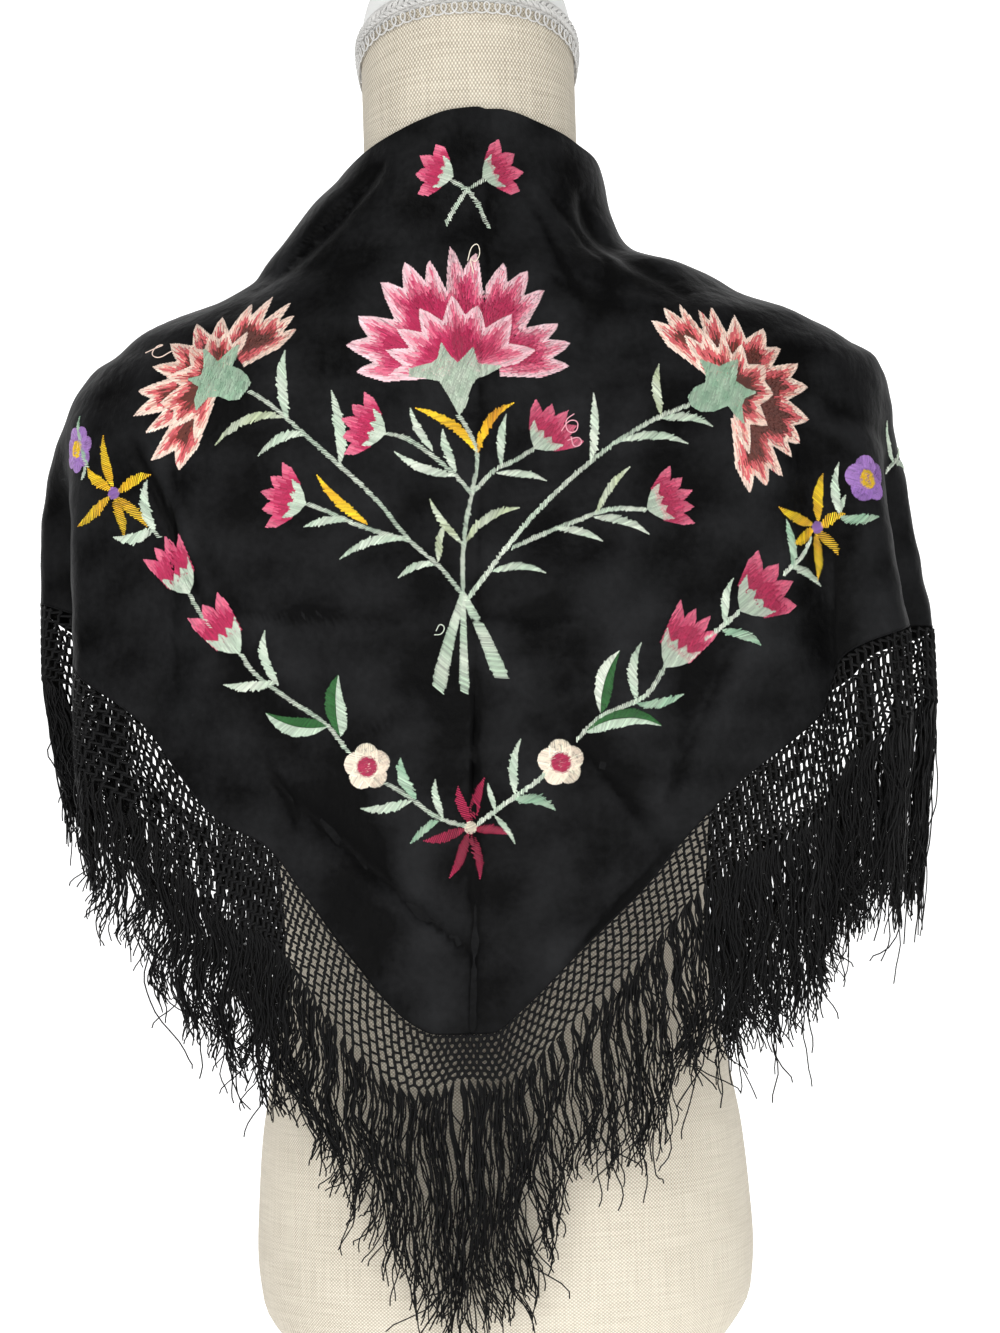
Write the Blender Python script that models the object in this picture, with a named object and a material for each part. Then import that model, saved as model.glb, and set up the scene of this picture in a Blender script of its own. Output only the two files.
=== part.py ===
"""Piano shawl: a square of black silk folded corner to corner, with a knotted net and a long fringe, draped
corner-down over the back of a limbless linen dress form, which stands on its own flat base.

Frame: metres, +Z up, origin at the middle of the form's base. The wearer's back faces -Y, and +X is on the
right when looking at the back. A turn is the angle round the form from the middle of the back, in degrees,
positive towards +X. The tables hold millimetres, which MM scales when a mesh is made.
"""

import math

import bmesh
import bpy
import numpy as np

MM = 0.001

# Every level section, of the form and of the draped cloth, is a superellipse of this power: a little squarer
# than an ellipse, as shoulders and hips are.
SQUARENESS = 2.2

# ---------------------------------------------------------------- dress form

# height, half width, depth behind the middle, depth before it
FORM_SECTIONS = (
    (0, 95, 64, 63),
    (8, 106, 75, 73),
    (24, 123, 87, 84),
    (48, 137, 95, 92),
    (76, 139.5, 98, 95),
    (104, 138, 98, 96),
    (138, 135, 95, 95),
    (167, 130, 91, 92),
    (212, 121, 84, 87),
    (250, 118.5, 80, 84),
    (300, 121, 83, 87),
    (345, 128, 88, 94),
    (380, 134, 93, 103),
    (410, 140, 98, 112),
    (440, 149, 101.5, 116),
    (470, 164, 102, 112),
    (490, 176, 101.5, 107),
    (512, 190, 100, 100),
    (532, 201, 98, 93),
    (550, 206, 96, 87),
    (565, 205, 93, 82),
    (576, 198, 89, 77),
    (587, 181, 86, 74),
    (598, 153, 82, 71),
    (610, 124, 79, 68),
    (621, 93, 75.5, 65),
    (633, 74, 71.5, 62),
    (646, 65.5, 68, 60),
    (662, 62, 64.5, 58),
    (690, 60, 59, 55),
    (712, 60, 56.5, 54.5),
    (741, 60, 55.4, 55.4),
)
FORM_SIDES = 32
NECK_TILT_FROM = 690  # the neck's rings start to tip here, and reach the cap's own tilt at the top
NECK_TILT = math.radians(22.5)  # the cap's seam is higher at the nape than at the throat
NECK_JOIN = 741  # height of the seam on the neck's axis
NECK_RADIUS = 60  # half width at the seam
NECK_DEPTH = 55.4  # half depth there
SEAM_GAP = 0.3

CAP_HEIGHT = 58
CAP_POWER = 2.4
CAP_RINGS = 7

BRAID_HALF_WIDTH = 8  # across the band, which is sewn over the cap's seam
BRAID_ROW_HEIGHTS = (-8, -6.5, -1.5, 0, 1.5, 6.5, 8)  # two raised rows with a groove between them
BRAID_ROW_RISES = (0.8, 3.0, 3.0, 1.4, 3.4, 3.4, 0.8)
BRAID_SIDES = 36
BRAID_GAP = 0.6

# ---------------------------------------------------------------- draped cloth

CLOTH_WALL = 1.5
CLOTH_REST = 2.8  # least distance from the linen to the outside of the cloth that lies on it
NET_WALL = 1.2
TAIL_END = 522  # the last column along the fold: the tail is 10 mm wide there, and its tip is at 530

# The outside of the draped cloth: height, left half width, right half width, depth behind, depth before
DRAPE_SECTIONS = (
    (200, 254, 256, 109, 121),
    (300, 253, 255, 107.5, 121.5),
    (380, 252, 254, 106.5, 121.5),
    (412, 251, 253.5, 106, 121.5),
    (445, 249, 247, 105.5, 120.5),
    (490, 244, 239, 103.8, 112),
    (530, 234, 232.5, 101.5, 102),
    (557, 222, 231.5, 98.5, 93),
    (566, 217, 229, 96.5, 89),
    (574, 211, 221, 94.5, 86),
    (580, 202, 211, 92.5, 83),
    (590, 187, 192, 89.5, 80),
    (600, 163, 163, 86, 76.5),
    (606, 148, 145, 84, 74.5),
    (612, 134, 136, 82, 72),
    (620, 121, 118, 79.5, 69.5),
    (625, 117, 97, 78, 68),
    (630, 113, 84, 76, 67),
    (639, 106, 76.5, 73.5, 65),
    (649, 98, 73.5, 70.5, 63.5),
    (662, 86, 71.5, 67.5, 61.5),
    (677, 71, 69, 64, 60),
    (689, 63, 65, 61.5, 59),
    (706, 62.3, 62.3, 59.2, 58),
)

# Lines across the cloth from the folded edge to the hem. Each starts at the edge, crosses the shoulder or the
# back at its middle point, and ends at the hem: place along the fold, then turn and height of the three points.
CLOTH_LINES = (
    (-530, -158, 262, -158, 262, -157, 262),
    (-522, -158.4, 268, -157.5, 268, -156.5, 268),
    (-500, -158.6, 290, -156.5, 292, -154, 294),
    (-460, -159, 329, -153.5, 328, -148, 326),
    (-420, -159.4, 369, -149.8, 365, -140, 360),
    (-380, -159.8, 409, -144, 402, -128.5, 392),
    (-340, -160, 449, -134, 437, -112.5, 420),
    (-310, -160, 479, -117, 463, -98, 438),
    (-285, -160, 503, -100, 484, -88, 444),
    (-265, -159.5, 523, -84, 495, -77, 434),
    (-245, -159, 542, -74, 507, -66, 416),
    (-225, -158.5, 561, -65, 522, -59, 403),
    (-200, -156.5, 585, -57, 542, -47, 378),
    (-180, -151, 603, -51, 557, -40.8, 349),
    (-150, -142, 632, -44, 577, -33.9, 322),
    (-120, -126, 660, -36, 594, -27.9, 309),
    (-90, -85, 676, -26, 592, -22.8, 281),
    (-60, -52, 689, -16.5, 580, -17.2, 247),
    (-30, -22, 701, -8, 565, -10.8, 214),
    (-15, -8, 705, -3.5, 560, -7.4, 206.5),
    (0, 6, 706, 1, 560, -4.1, 206),
    (15, 20, 703, 4.5, 560, -0.7, 206.5),
    (30, 34, 698, 8.5, 565, 2.7, 217),
    (60, 60, 687, 16, 580, 10.1, 248),
    (90, 88, 674, 24.5, 592, 17.6, 278),
    (120, 112, 658, 34.5, 594, 25, 313),
    (150, 126, 632, 42, 577, 31.9, 338),
    (180, 150, 603, 49, 557, 39, 357),
    (200, 157, 585, 55.5, 542, 43.6, 369),
    (225, 159, 561, 64, 522, 49, 401),
    (245, 159.5, 542, 73.5, 507, 56.5, 411),
    (265, 159.5, 523, 84, 495, 67, 416),
    (285, 159.5, 503, 99, 484, 84, 416),
    (310, 159.6, 479, 116, 463, 98, 411),
    (340, 159.9, 449, 133, 435, 112.5, 402),
    (380, 160, 409, 144, 396, 128.5, 380),
    (420, 159.6, 369, 149.8, 361, 140, 352),
    (460, 159.2, 329, 153.5, 326, 148, 322),
    (500, 158.7, 290, 156.5, 291, 154, 292),
    (522, 158.5, 268, 157.5, 268, 156.5, 268),
    (530, 158, 262, 158, 262, 157, 262),
)

# Folds that hang from the shoulders, where the hem has more cloth than the body needs: turn, spread of the
# fold in degrees, swell (negative is a valley), height where it starts, height where it is full
HANGING_FOLDS = (
    (-138, 8, -15, 470, 380),
    (-116, 8, -18, 520, 420),
    (-74, 8, -34, 552, 440),
    (-58, 6, 4, 540, 440),
    (-43, 4, -4.5, 570, 470),
    (47, 4.5, -7, 575, 470),
    (60, 6, 4, 540, 440),
    (76, 8, -24, 552, 440),
    (115, 8, -18, 520, 420),
    (137, 8, -15, 470, 380),
)

# Soft creases and rolls on the back, as seen from behind: name, depth, spread, then x and z along the line
BACK_FOLDS = (
    ("roll along the left shoulder", 4.5, 5.5, ((-52, 675), (-71, 655), (-95, 632), (-124, 610))),
    ("roll along the right shoulder", 4.5, 5.5, ((63, 658), (66, 643), (85, 621), (109, 610))),
    ("wave under the right roll", 2.5, 6, ((50, 603), (75, 598), (105, 595))),
    ("long fold to the corner", 2.5, 6, ((-108, 330), (-60, 290), (-10, 250))),
    ("fold by the right hem", 2, 5, ((58, 350), (85, 325), (98, 300))),
)

CLOTH_ROWS = 18
ROW_POWER = 1.15  # rows lie closer together near the folded edge, where the cloth bends over the shoulder

# ---------------------------------------------------------------- net and fringe

NET_GAP = 0.8
NET_ROWS = 3
# place along the fold, depth of the net straight down
NET_DEPTHS = (
    (0, 23),
    (15, 27),
    (30, 38),
    (50, 49),
    (75, 56),
    (240, 55),
    (275, 42),
    (315, 42),
    (350, 52),
    (480, 54),
    (530, 32),
)

STRIP_HEIGHT = 3
STRIP_WALL = 2.2
STRIP_GAP = 1.3
STRANDS_PER_LINK = 2  # between two columns of the cloth
STRAND_RADIUS = 0.8
STRAND_TIP_RADIUS = 0.5
STRAND_CORNERS = (0.3, 0.3 + math.tau / 3, 0.3 + math.tau * 2 / 3)
STRAND_SINK = 1.8  # how far a strand's root goes into the strip
# place along the fold, length of the strands below the net
FRINGE_LENGTHS = (
    (-530, 135),
    (-400, 138),
    (-320, 128),
    (-280, 112),
    (-240, 118),
    (-205, 112),
    (-180, 96),
    (-150, 92),
    (-120, 108),
    (-90, 124),
    (-60, 124),
    (-30, 136),
    (0, 138),
    (30, 128),
    (60, 112),
    (90, 96),
    (120, 106),
    (150, 114),
    (180, 100),
    (205, 96),
    (240, 106),
    (280, 96),
    (320, 118),
    (400, 138),
    (530, 135),
)

# name, first and last place along the fold
RUNS = (
    ("front_left", -TAIL_END, -286),
    ("back_left", -285, -0.5),
    ("back_right", 0.5, 285),
    ("front_right", 286, TAIL_END),
)

# ---------------------------------------------------------------- colours

LINEN = ("linen", (0.66, 0.58, 0.47, 1), 0.9)
CAP_CLOTH = ("cap_cloth", (0.80, 0.80, 0.78, 1), 0.75)
GIMP = ("gimp_braid", (0.78, 0.77, 0.75, 1), 0.6)
SILK = ("black_silk", (0.012, 0.012, 0.014, 1), 0.42)
NET_SILK = ("net_silk", (0.012, 0.012, 0.013, 1), 0.6)
FRINGE_SILK = ("fringe_silk", (0.010, 0.010, 0.011, 1), 0.5)


def smooth(stations, values, at):
    """A curve through the rows of a short table that never swings past them (monotone cubic)."""
    stations = np.asarray(stations, float)
    values = np.asarray(values, float)
    at = np.clip(np.asarray(at, float), stations[0], stations[-1])
    steps = np.diff(stations)
    slopes = np.diff(values) / steps
    tangents = np.zeros(len(values))
    before, after = slopes[:-1], slopes[1:]
    rising = before * after > 0
    tangents[1:-1][rising] = 2 / (1 / before[rising] + 1 / after[rising])
    tangents[0], tangents[-1] = slopes[0], slopes[-1]
    row = np.clip(np.searchsorted(stations, at, side="right") - 1, 0, len(steps) - 1)
    share = (at - stations[row]) / steps[row]
    back = 1 - share
    return (
        values[row] * (1 + 2 * share) * back**2
        + tangents[row] * steps[row] * share * back**2
        + values[row + 1] * (3 - 2 * share) * share**2
        - tangents[row + 1] * steps[row] * share**2 * back
    )


def read(table, at):
    """Every column of a table after its first, smoothed at one or many places."""
    rows = np.asarray(table, float)
    return [smooth(rows[:, 0], rows[:, column], at) for column in range(1, rows.shape[1])]


def ramp(value, start, full):
    """0 at start, 1 at full, with a soft ease between them."""
    share = np.clip((value - start) / (full - start), 0, 1)
    return share * share * (3 - 2 * share)


def section_point(turn, half_width, behind, before):
    """A point of a level superellipse section at a turn, as x and y."""
    angle = np.radians(turn)
    across, back = np.sin(angle), np.cos(angle)
    size = (np.abs(across) ** SQUARENESS + np.abs(back) ** SQUARENESS) ** (1 / SQUARENESS)
    return half_width * across / size, -np.where(back > 0, behind, before) * back / size


def line_distance(x, z, line):
    """How far points lie from a line of short straight runs, and 0 to 1 for how far along it they are."""
    nearest = np.full(np.shape(x), np.inf)
    along = np.zeros(np.shape(x))
    runs = len(line) - 1
    for run in range(runs):
        (x0, z0), (x1, z1) = line[run], line[run + 1]
        dx, dz = x1 - x0, z1 - z0
        share = np.clip(((x - x0) * dx + (z - z0) * dz) / (dx * dx + dz * dz), 0, 1)
        away = np.hypot(x - x0 - share * dx, z - z0 - share * dz)
        closer = away < nearest
        nearest = np.where(closer, away, nearest)
        along = np.where(closer, (run + share) / runs, along)
    return nearest, along


def drape_point(turn, height):
    """The outside of the cloth at a turn and a height, with its folds."""
    turn, height = np.broadcast_arrays(np.asarray(turn, float), np.asarray(height, float))
    left, right, behind, before = read(DRAPE_SECTIONS, height)
    half_width = np.where(turn < 0, left, right)
    depth = np.where(np.abs(turn) < 90, behind, before)
    x, y = section_point(turn, half_width, behind, before)
    out_x, out_y = x / half_width**2, y / depth**2
    size = np.hypot(out_x, out_y)
    out_x, out_y = out_x / size, out_y / size
    swell = np.zeros(turn.shape)
    for fold_turn, spread, rise, start, full in HANGING_FOLDS:
        swell += rise * np.exp(-(((turn - fold_turn) / spread) ** 2)) * ramp(height, start, full)
    for _name, sink, spread, line in BACK_FOLDS:
        away, along = line_distance(x, height, line)
        ends = 0.35 + 0.65 * np.sin(np.pi * np.clip(along, 0.02, 0.98)) ** 0.5
        swell -= np.where(y < 0, sink * ends * np.exp(-((away / spread) ** 2)), 0)
    return clear_of_form(x + out_x * swell, y + out_y * swell, height)


def clear_of_form(x, y, height):
    """Moves points that would sink into the form straight out, until the cloth just rests on the linen."""
    half_width, behind, before = read(FORM_SECTIONS, height - CLOTH_REST)
    half_width, depth = half_width + CLOTH_REST, np.where(y < 0, behind, before) + CLOTH_REST
    inside = (np.abs(x / half_width) ** SQUARENESS + np.abs(y / depth) ** SQUARENESS) ** (1 / SQUARENESS)
    push = np.maximum(1, 1 / np.maximum(inside, 1e-6))
    return np.stack([x * push, y * push, height], axis=-1)


def cloth_line(place, shares):
    """Points of one line across the cloth, from the folded edge (share 0) to the hem (share 1)."""
    edge_turn, edge_z, mid_turn, mid_z, hem_turn, hem_z = (float(v) for v in read(CLOTH_LINES, place))
    reach = abs(edge_z - hem_z) + 1e-6
    middle = min(0.75, max(0.3, abs(edge_z - mid_z) / reach))
    steps = np.linspace(0, 1, 160)
    turns = smooth((0, middle, 1), (edge_turn, mid_turn, hem_turn), steps)
    heights = smooth((0, middle, 1), (edge_z, mid_z, hem_z), steps)
    points = drape_point(turns, heights)
    lengths = np.concatenate([[0], np.cumsum(np.linalg.norm(np.diff(points, axis=0), axis=1))])
    at = np.interp(shares * lengths[-1], lengths, steps)
    return drape_point(np.interp(at, steps, turns), np.interp(at, steps, heights))


def below_hem(places, drops):
    """Points straight below the hem, on the surface that the cloth would go on along."""
    rows = read(CLOTH_LINES, places)
    return drape_point(rows[4], rows[5] - drops)


def run_below_hem(run, drops):
    """The stretch of a row below the hem that belongs to one run, and its places. The row has a point at every
    column of the cloth, and its ends lie on the straight piece between two of them."""
    _name, first, last = run
    columns = np.array(cloth_places())
    row = below_hem(columns, drops(columns))
    places = np.array([first] + [place for place in columns if first + 1 < place < last - 1] + [last])
    return np.stack([np.interp(places, columns, row[:, axis]) for axis in range(3)], axis=-1), places


def wall_mesh(outside, wall, level=False):
    """Points and triangles of a closed wall whose outer face is a grid of points and whose inner face lies
    a wall's thickness inside it, straight in towards the form where level is set. The grid's rows run down
    the cloth, and its columns run towards +turn."""
    columns, rows = outside.shape[:2]
    across = np.gradient(outside, axis=0)
    down = np.gradient(outside, axis=1)
    if level:
        down = np.broadcast_to((0.0, 0.0, -1.0), outside.shape)
    normal = np.cross(down, across)
    normal /= np.linalg.norm(normal, axis=-1, keepdims=True)
    inside = outside - wall * normal
    points = np.concatenate([outside.reshape(-1, 3), inside.reshape(-1, 3)])
    number = np.arange(columns * rows).reshape(columns, rows)
    inner = number + columns * rows
    faces = []

    def quad(a, b, c, d):
        faces.append((a, b, c))
        faces.append((a, c, d))

    # each square of the grid is split along its shorter diagonal, alike on both faces of the wall
    falling = np.linalg.norm(outside[1:, 1:] - outside[:-1, :-1], axis=-1)
    rising = np.linalg.norm(outside[1:, :-1] - outside[:-1, 1:], axis=-1)
    for i in range(columns - 1):
        for j in range(rows - 1):
            corners = ((i, j), (i, j + 1), (i + 1, j + 1), (i + 1, j))
            if rising[i, j] < falling[i, j]:
                corners = corners[1:] + corners[:1]
            quad(*(number[corner] for corner in corners))
            quad(*(inner[corner] for corner in (corners[0], corners[3], corners[2], corners[1])))
        quad(number[i, 0], number[i + 1, 0], inner[i + 1, 0], inner[i, 0])
        quad(number[i + 1, -1], number[i, -1], inner[i, -1], inner[i + 1, -1])
    for j in range(rows - 1):
        quad(number[0, j + 1], number[0, j], inner[0, j], inner[0, j + 1])
        quad(number[-1, j], number[-1, j + 1], inner[-1, j + 1], inner[-1, j])
    return points, faces


def tube_mesh(rings):
    """Points and triangles of a closed solid through a stack of rings, each end closed with a fan."""
    rings = np.asarray(rings, float)
    count, sides = rings.shape[:2]
    points = np.concatenate([rings.reshape(-1, 3), rings[:1].mean(axis=1), rings[-1:].mean(axis=1)])
    number = np.arange(count * sides).reshape(count, sides)
    first, last = count * sides, count * sides + 1
    faces = []
    for side in range(sides):
        after = (side + 1) % sides
        for ring in range(count - 1):
            a, b = number[ring, side], number[ring, after]
            c, d = number[ring + 1, after], number[ring + 1, side]
            faces += [(a, b, c), (a, c, d)]
        faces.append((first, number[0, after], number[0, side]))
        faces.append((last, number[-1, side], number[-1, after]))
    return points, faces


def ring_mesh(loops):
    """Points and triangles of a closed hoop: each loop is the section at one turn."""
    loops = np.asarray(loops, float)
    count, sides = loops.shape[:2]
    number = np.arange(count * sides).reshape(count, sides)
    faces = []
    for turn in range(count):
        following = (turn + 1) % count
        for side in range(sides):
            after = (side + 1) % sides
            a, b = number[turn, side], number[turn, after]
            c, d = number[following, after], number[following, side]
            faces += [(a, b, c), (a, c, d)]
    return loops.reshape(-1, 3), faces


def make_material(finish):
    name, colour, roughness = finish
    material = bpy.data.materials.new(name)
    material.use_nodes = True
    shader = material.node_tree.nodes["Principled BSDF"]
    shader.inputs["Base Color"].default_value = colour
    shader.inputs["Roughness"].default_value = roughness
    shader.inputs["Metallic"].default_value = 0
    return material


def make_node(name, points, faces, material, parent):
    """One named object, its mesh in metres with its faces pointing out."""
    mesh = bpy.data.meshes.new(name)
    mesh.from_pydata([tuple(point) for point in np.asarray(points) * MM], [], [tuple(map(int, f)) for f in faces])
    shape = bmesh.new()
    shape.from_mesh(mesh)
    bmesh.ops.recalc_face_normals(shape, faces=shape.faces)
    if shape.calc_volume(signed=True) < 0:
        bmesh.ops.reverse_faces(shape, faces=shape.faces)
    shape.to_mesh(mesh)
    shape.free()
    mesh.materials.append(material)
    mesh.shade_smooth()
    mesh.set_sharp_from_angle(angle=math.radians(50))
    node = bpy.data.objects.new(name, mesh)
    bpy.context.scene.collection.objects.link(node)
    node.parent = parent
    return node


def neck_ring(grow, height, turns):
    """A level ring of the neck, sheared so that it runs beside the cap's seam, grow outside the linen and
    height above the seam."""
    x, y = section_point(turns, NECK_RADIUS + grow, NECK_DEPTH + grow, NECK_DEPTH + grow)
    return np.stack([x, y, NECK_JOIN - y * math.tan(NECK_TILT) + height], axis=-1)


def form_body(linen, parent):
    turns = np.arange(FORM_SIDES) * 360 / FORM_SIDES
    rings = []
    for height in (row[0] for row in FORM_SECTIONS):
        x, y = section_point(turns, *read(FORM_SECTIONS, height))
        tip = ramp(height, NECK_TILT_FROM, NECK_JOIN) * math.tan(NECK_TILT)
        rings.append(np.stack([x, y, height - y * tip], axis=-1))
    points, faces = tube_mesh(rings)
    return make_node("form_body", points, faces, linen, parent)


def neck_cap(cap_cloth, parent):
    turns = np.arange(FORM_SIDES) * 360 / FORM_SIDES
    rings = []
    for ring in range(CAP_RINGS):
        rise = CAP_HEIGHT * math.sin(ring / CAP_RINGS * math.pi / 2)
        narrowed = (1 - (rise / CAP_HEIGHT) ** CAP_POWER) ** (1 / CAP_POWER)
        rings.append(neck_ring(0, SEAM_GAP + rise, turns))
        rings[-1][:, :2] *= narrowed
        rings[-1][:, 2] += (rings[-1][:, 1] / narrowed - rings[-1][:, 1]) * math.tan(NECK_TILT)
    points, faces = tube_mesh(rings)
    points[-1] = (0, 0, NECK_JOIN + SEAM_GAP + CAP_HEIGHT)
    return make_node("neck_cap", points, faces, cap_cloth, parent)


def neck_braid(gimp, parent):
    """A flat band with two raised rows, sewn round the neck over the cap's seam."""
    section = list(zip(BRAID_ROW_RISES, BRAID_ROW_HEIGHTS)) + [(0, BRAID_HALF_WIDTH), (0, -BRAID_HALF_WIDTH)]
    turns = np.arange(BRAID_SIDES) * 360 / BRAID_SIDES
    rows = [neck_ring(BRAID_GAP + rise, height, turns) for rise, height in section]
    points, faces = ring_mesh(np.stack(rows, axis=1))
    return make_node("neck_braid", points, faces, gimp, parent)


def cloth_places():
    """Places of the columns along the fold: close together where folds hang, wider over the flat back."""
    half = [0.0]
    while half[-1] < TAIL_END:
        step = 14 if half[-1] < 190 else 9.5 if half[-1] < 400 else 13
        half.append(half[-1] + step)
    half[-1] = TAIL_END
    return [-place for place in reversed(half[1:])] + half


def shawl_cloth(silk, parent):
    shares = np.linspace(0, 1, CLOTH_ROWS) ** ROW_POWER
    grid = np.array([cloth_line(place, shares) for place in cloth_places()])
    points, faces = wall_mesh(grid, CLOTH_WALL)
    return make_node("shawl_cloth", points, faces, silk, parent)


def net_depth(places):
    return read(NET_DEPTHS, np.abs(places))[0]


def net_band(run, silk, parent):
    """The knotted net below the hem. Its meshes are too many to cut, so it is a plain wall."""
    rows = []
    for row in range(NET_ROWS + 1):
        points, _places = run_below_hem(run, lambda at, share=row / NET_ROWS: NET_GAP + net_depth(at) * share)
        rows.append(points)
    points, faces = wall_mesh(np.stack(rows, axis=1), NET_WALL, level=True)
    return make_node("net_" + run[0], points, faces, silk, parent)


def strand_mesh(root, length, sway):
    """One three-sided strand, its root inside the strip, bending a little on its way down."""
    rings = []
    for share in (0, 0.5, 1):
        radius = STRAND_RADIUS + (STRAND_TIP_RADIUS - STRAND_RADIUS) * share
        middle = root + np.array([sway[0] * share**2, sway[1] * share**2, STRAND_SINK * (1 - share) - length * share])
        corners = [
            middle + radius * np.array([math.cos(angle), math.sin(angle), 0])
            for angle in STRAND_CORNERS
        ]
        rings.append(corners)
    return tube_mesh(rings)


def fringe(run, silk, parent):
    """A narrow strip below the net's edge, with the strands' roots fused into it."""
    top, places = run_below_hem(run, lambda at: NET_GAP + net_depth(at) + STRIP_GAP)
    bottom = top - (0, 0, STRIP_HEIGHT)
    points, faces = wall_mesh(np.stack([top, bottom], axis=1), STRIP_WALL, level=True)
    strip = make_node("fringe_" + run[0], points, faces, silk, parent)
    count = len(places)
    middle_of_bottom = (points[1 : 2 * count : 2] + points[2 * count + 1 :: 2]) / 2
    strands, strand_faces = [], []
    for link in range(count - 1):
        for strand in range(STRANDS_PER_LINK):
            share = (strand + 0.5) / STRANDS_PER_LINK
            place = places[link] + share * (places[link + 1] - places[link])
            root = middle_of_bottom[link] + share * (middle_of_bottom[link + 1] - middle_of_bottom[link])
            uneven = 6 * math.sin(place * 1.7) + 4 * math.sin(place * 0.61)
            length = float(read(FRINGE_LENGTHS, place)[0]) + uneven
            sway = (2.2 * math.sin(place / 17), 1.6 * math.cos(place / 23))
            new_points, new_faces = strand_mesh(root, length, sway)
            strand_faces += [tuple(np.array(face) + len(strands)) for face in new_faces]
            strands += list(new_points)
    roots = make_node("strands_" + run[0], strands, strand_faces, silk, parent)
    roots.hide_render = True
    roots.display_type = "WIRE"
    union = strip.modifiers.new("strands", "BOOLEAN")
    union.operation = "UNION"
    union.solver = "MANIFOLD"  # EXACT loses the back left strip
    union.object = roots
    return strip


def main():
    for old in list(bpy.data.objects):
        bpy.data.objects.remove(old)
    whole = bpy.data.objects.new("shawl_on_form", None)
    bpy.context.scene.collection.objects.link(whole)
    linen, cap_cloth, gimp = make_material(LINEN), make_material(CAP_CLOTH), make_material(GIMP)
    silk, net_silk, fringe_silk = make_material(SILK), make_material(NET_SILK), make_material(FRINGE_SILK)
    form_body(linen, whole)
    neck_cap(cap_cloth, whole)
    neck_braid(gimp, whole)
    shawl_cloth(silk, whole)
    for run in RUNS:
        net_band(run, net_silk, whole)
        fringe(run, fringe_silk, whole)


main()
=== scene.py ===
"""The looks of a piano shawl on its dress form: black silk crepe with satin-stitch flowers, a knotted net
and a long tangled fringe, over a linen form with a pale cap and a gimp braid.

Frame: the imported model's own, in metres. The tables hold millimetres, which MM scales when a mesh is made.
The wearer's back faces -Y. A turn is the angle round the form from the middle of the back, in degrees,
positive towards +X. A place on the cloth is told in two ways: along the fold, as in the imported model, or as
across and height: across is the way round the level section from the middle of the back.
"""

import math

import bmesh
import bpy
import numpy as np
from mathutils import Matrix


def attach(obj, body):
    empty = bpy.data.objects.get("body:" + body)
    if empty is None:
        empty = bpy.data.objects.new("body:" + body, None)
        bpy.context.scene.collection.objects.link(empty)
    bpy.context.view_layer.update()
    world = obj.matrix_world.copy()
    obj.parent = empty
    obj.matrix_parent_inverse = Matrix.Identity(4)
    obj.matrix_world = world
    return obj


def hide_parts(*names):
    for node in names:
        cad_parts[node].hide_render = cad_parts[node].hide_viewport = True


MM = 0.001

# ---------------------------------------------------------------- the form and the drape
# The solids have these shapes too. Three tables follow the photograph more closely than the solids do: the
# drape's half widths at the shoulders, the net's depths and the fringe's lengths.

SQUARENESS = 2.2

# height, half width, depth behind the middle, depth before it
FORM_SECTIONS = (
    (0, 95, 64, 63), (8, 106, 75, 73), (24, 123, 87, 84), (48, 137, 95, 92), (76, 139.5, 98, 95),
    (104, 138, 98, 96), (138, 135, 95, 95), (167, 130, 91, 92), (212, 121, 84, 87), (250, 118.5, 80, 84),
    (300, 121, 83, 87), (345, 128, 88, 94), (380, 134, 93, 103), (410, 140, 98, 112),
    (440, 149, 101.5, 116), (470, 164, 102, 112), (490, 176, 101.5, 107), (512, 190, 100, 100),
    (532, 201, 98, 93), (550, 206, 96, 87), (565, 205, 93, 82), (576, 198, 89, 77), (587, 181, 86, 74),
    (598, 153, 82, 71), (610, 124, 79, 68), (621, 93, 75.5, 65), (633, 74, 71.5, 62), (646, 65.5, 68, 60),
    (662, 62, 64.5, 58), (690, 60, 59, 55), (712, 60, 56.5, 54.5), (741, 60, 55.4, 55.4),
)
NECK_TILT_FROM = 690
NECK_TILT = math.radians(22.5)
NECK_JOIN = 741
NECK_RADIUS = 60
NECK_DEPTH = 55.4
SEAM_GAP = 0.3
SEAM_REACH = 0.05  # a face of the UV map that is wider than this many metres runs over the map's seam
CAP_HEIGHT = 58
CAP_POWER = 2.4
FORM_SIDES = 112
CAP_SIDES = 96
CAP_RINGS = 22
CLOTH_REST = 2.8
TAIL_END = 522

# height, left half width, right half width, depth behind, depth before
DRAPE_SECTIONS = (
    (200, 254, 256, 109, 121), (300, 253, 255, 107.5, 121.5), (380, 252, 254, 106.5, 121.5),
    (412, 251.5, 253.5, 106, 121.5), (445, 251, 248, 105.5, 120.5), (490, 249, 241, 103.8, 112),
    (530, 240, 233.5, 101.5, 102), (557, 227, 229, 98.5, 93), (566, 221, 225, 96.5, 89),
    (574, 214, 215, 94.5, 86), (580, 205, 205, 92.5, 83), (590, 192, 187, 89.5, 80),
    (600, 170, 161, 86, 76.5), (606, 154, 148, 84, 74.5), (612, 139, 138, 82, 72),
    (620, 125, 123, 79.5, 69.5), (625, 121, 104, 78, 68), (630, 117, 91, 76, 67), (639, 109, 83, 73.5, 65),
    (649, 101.5, 79, 70.5, 63.5), (662, 89.5, 75.5, 67.5, 61.5), (677, 75, 73, 64, 60),
    (689, 66.5, 68.5, 61.5, 59), (706, 63.5, 63.5, 59.2, 58),
)

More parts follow.
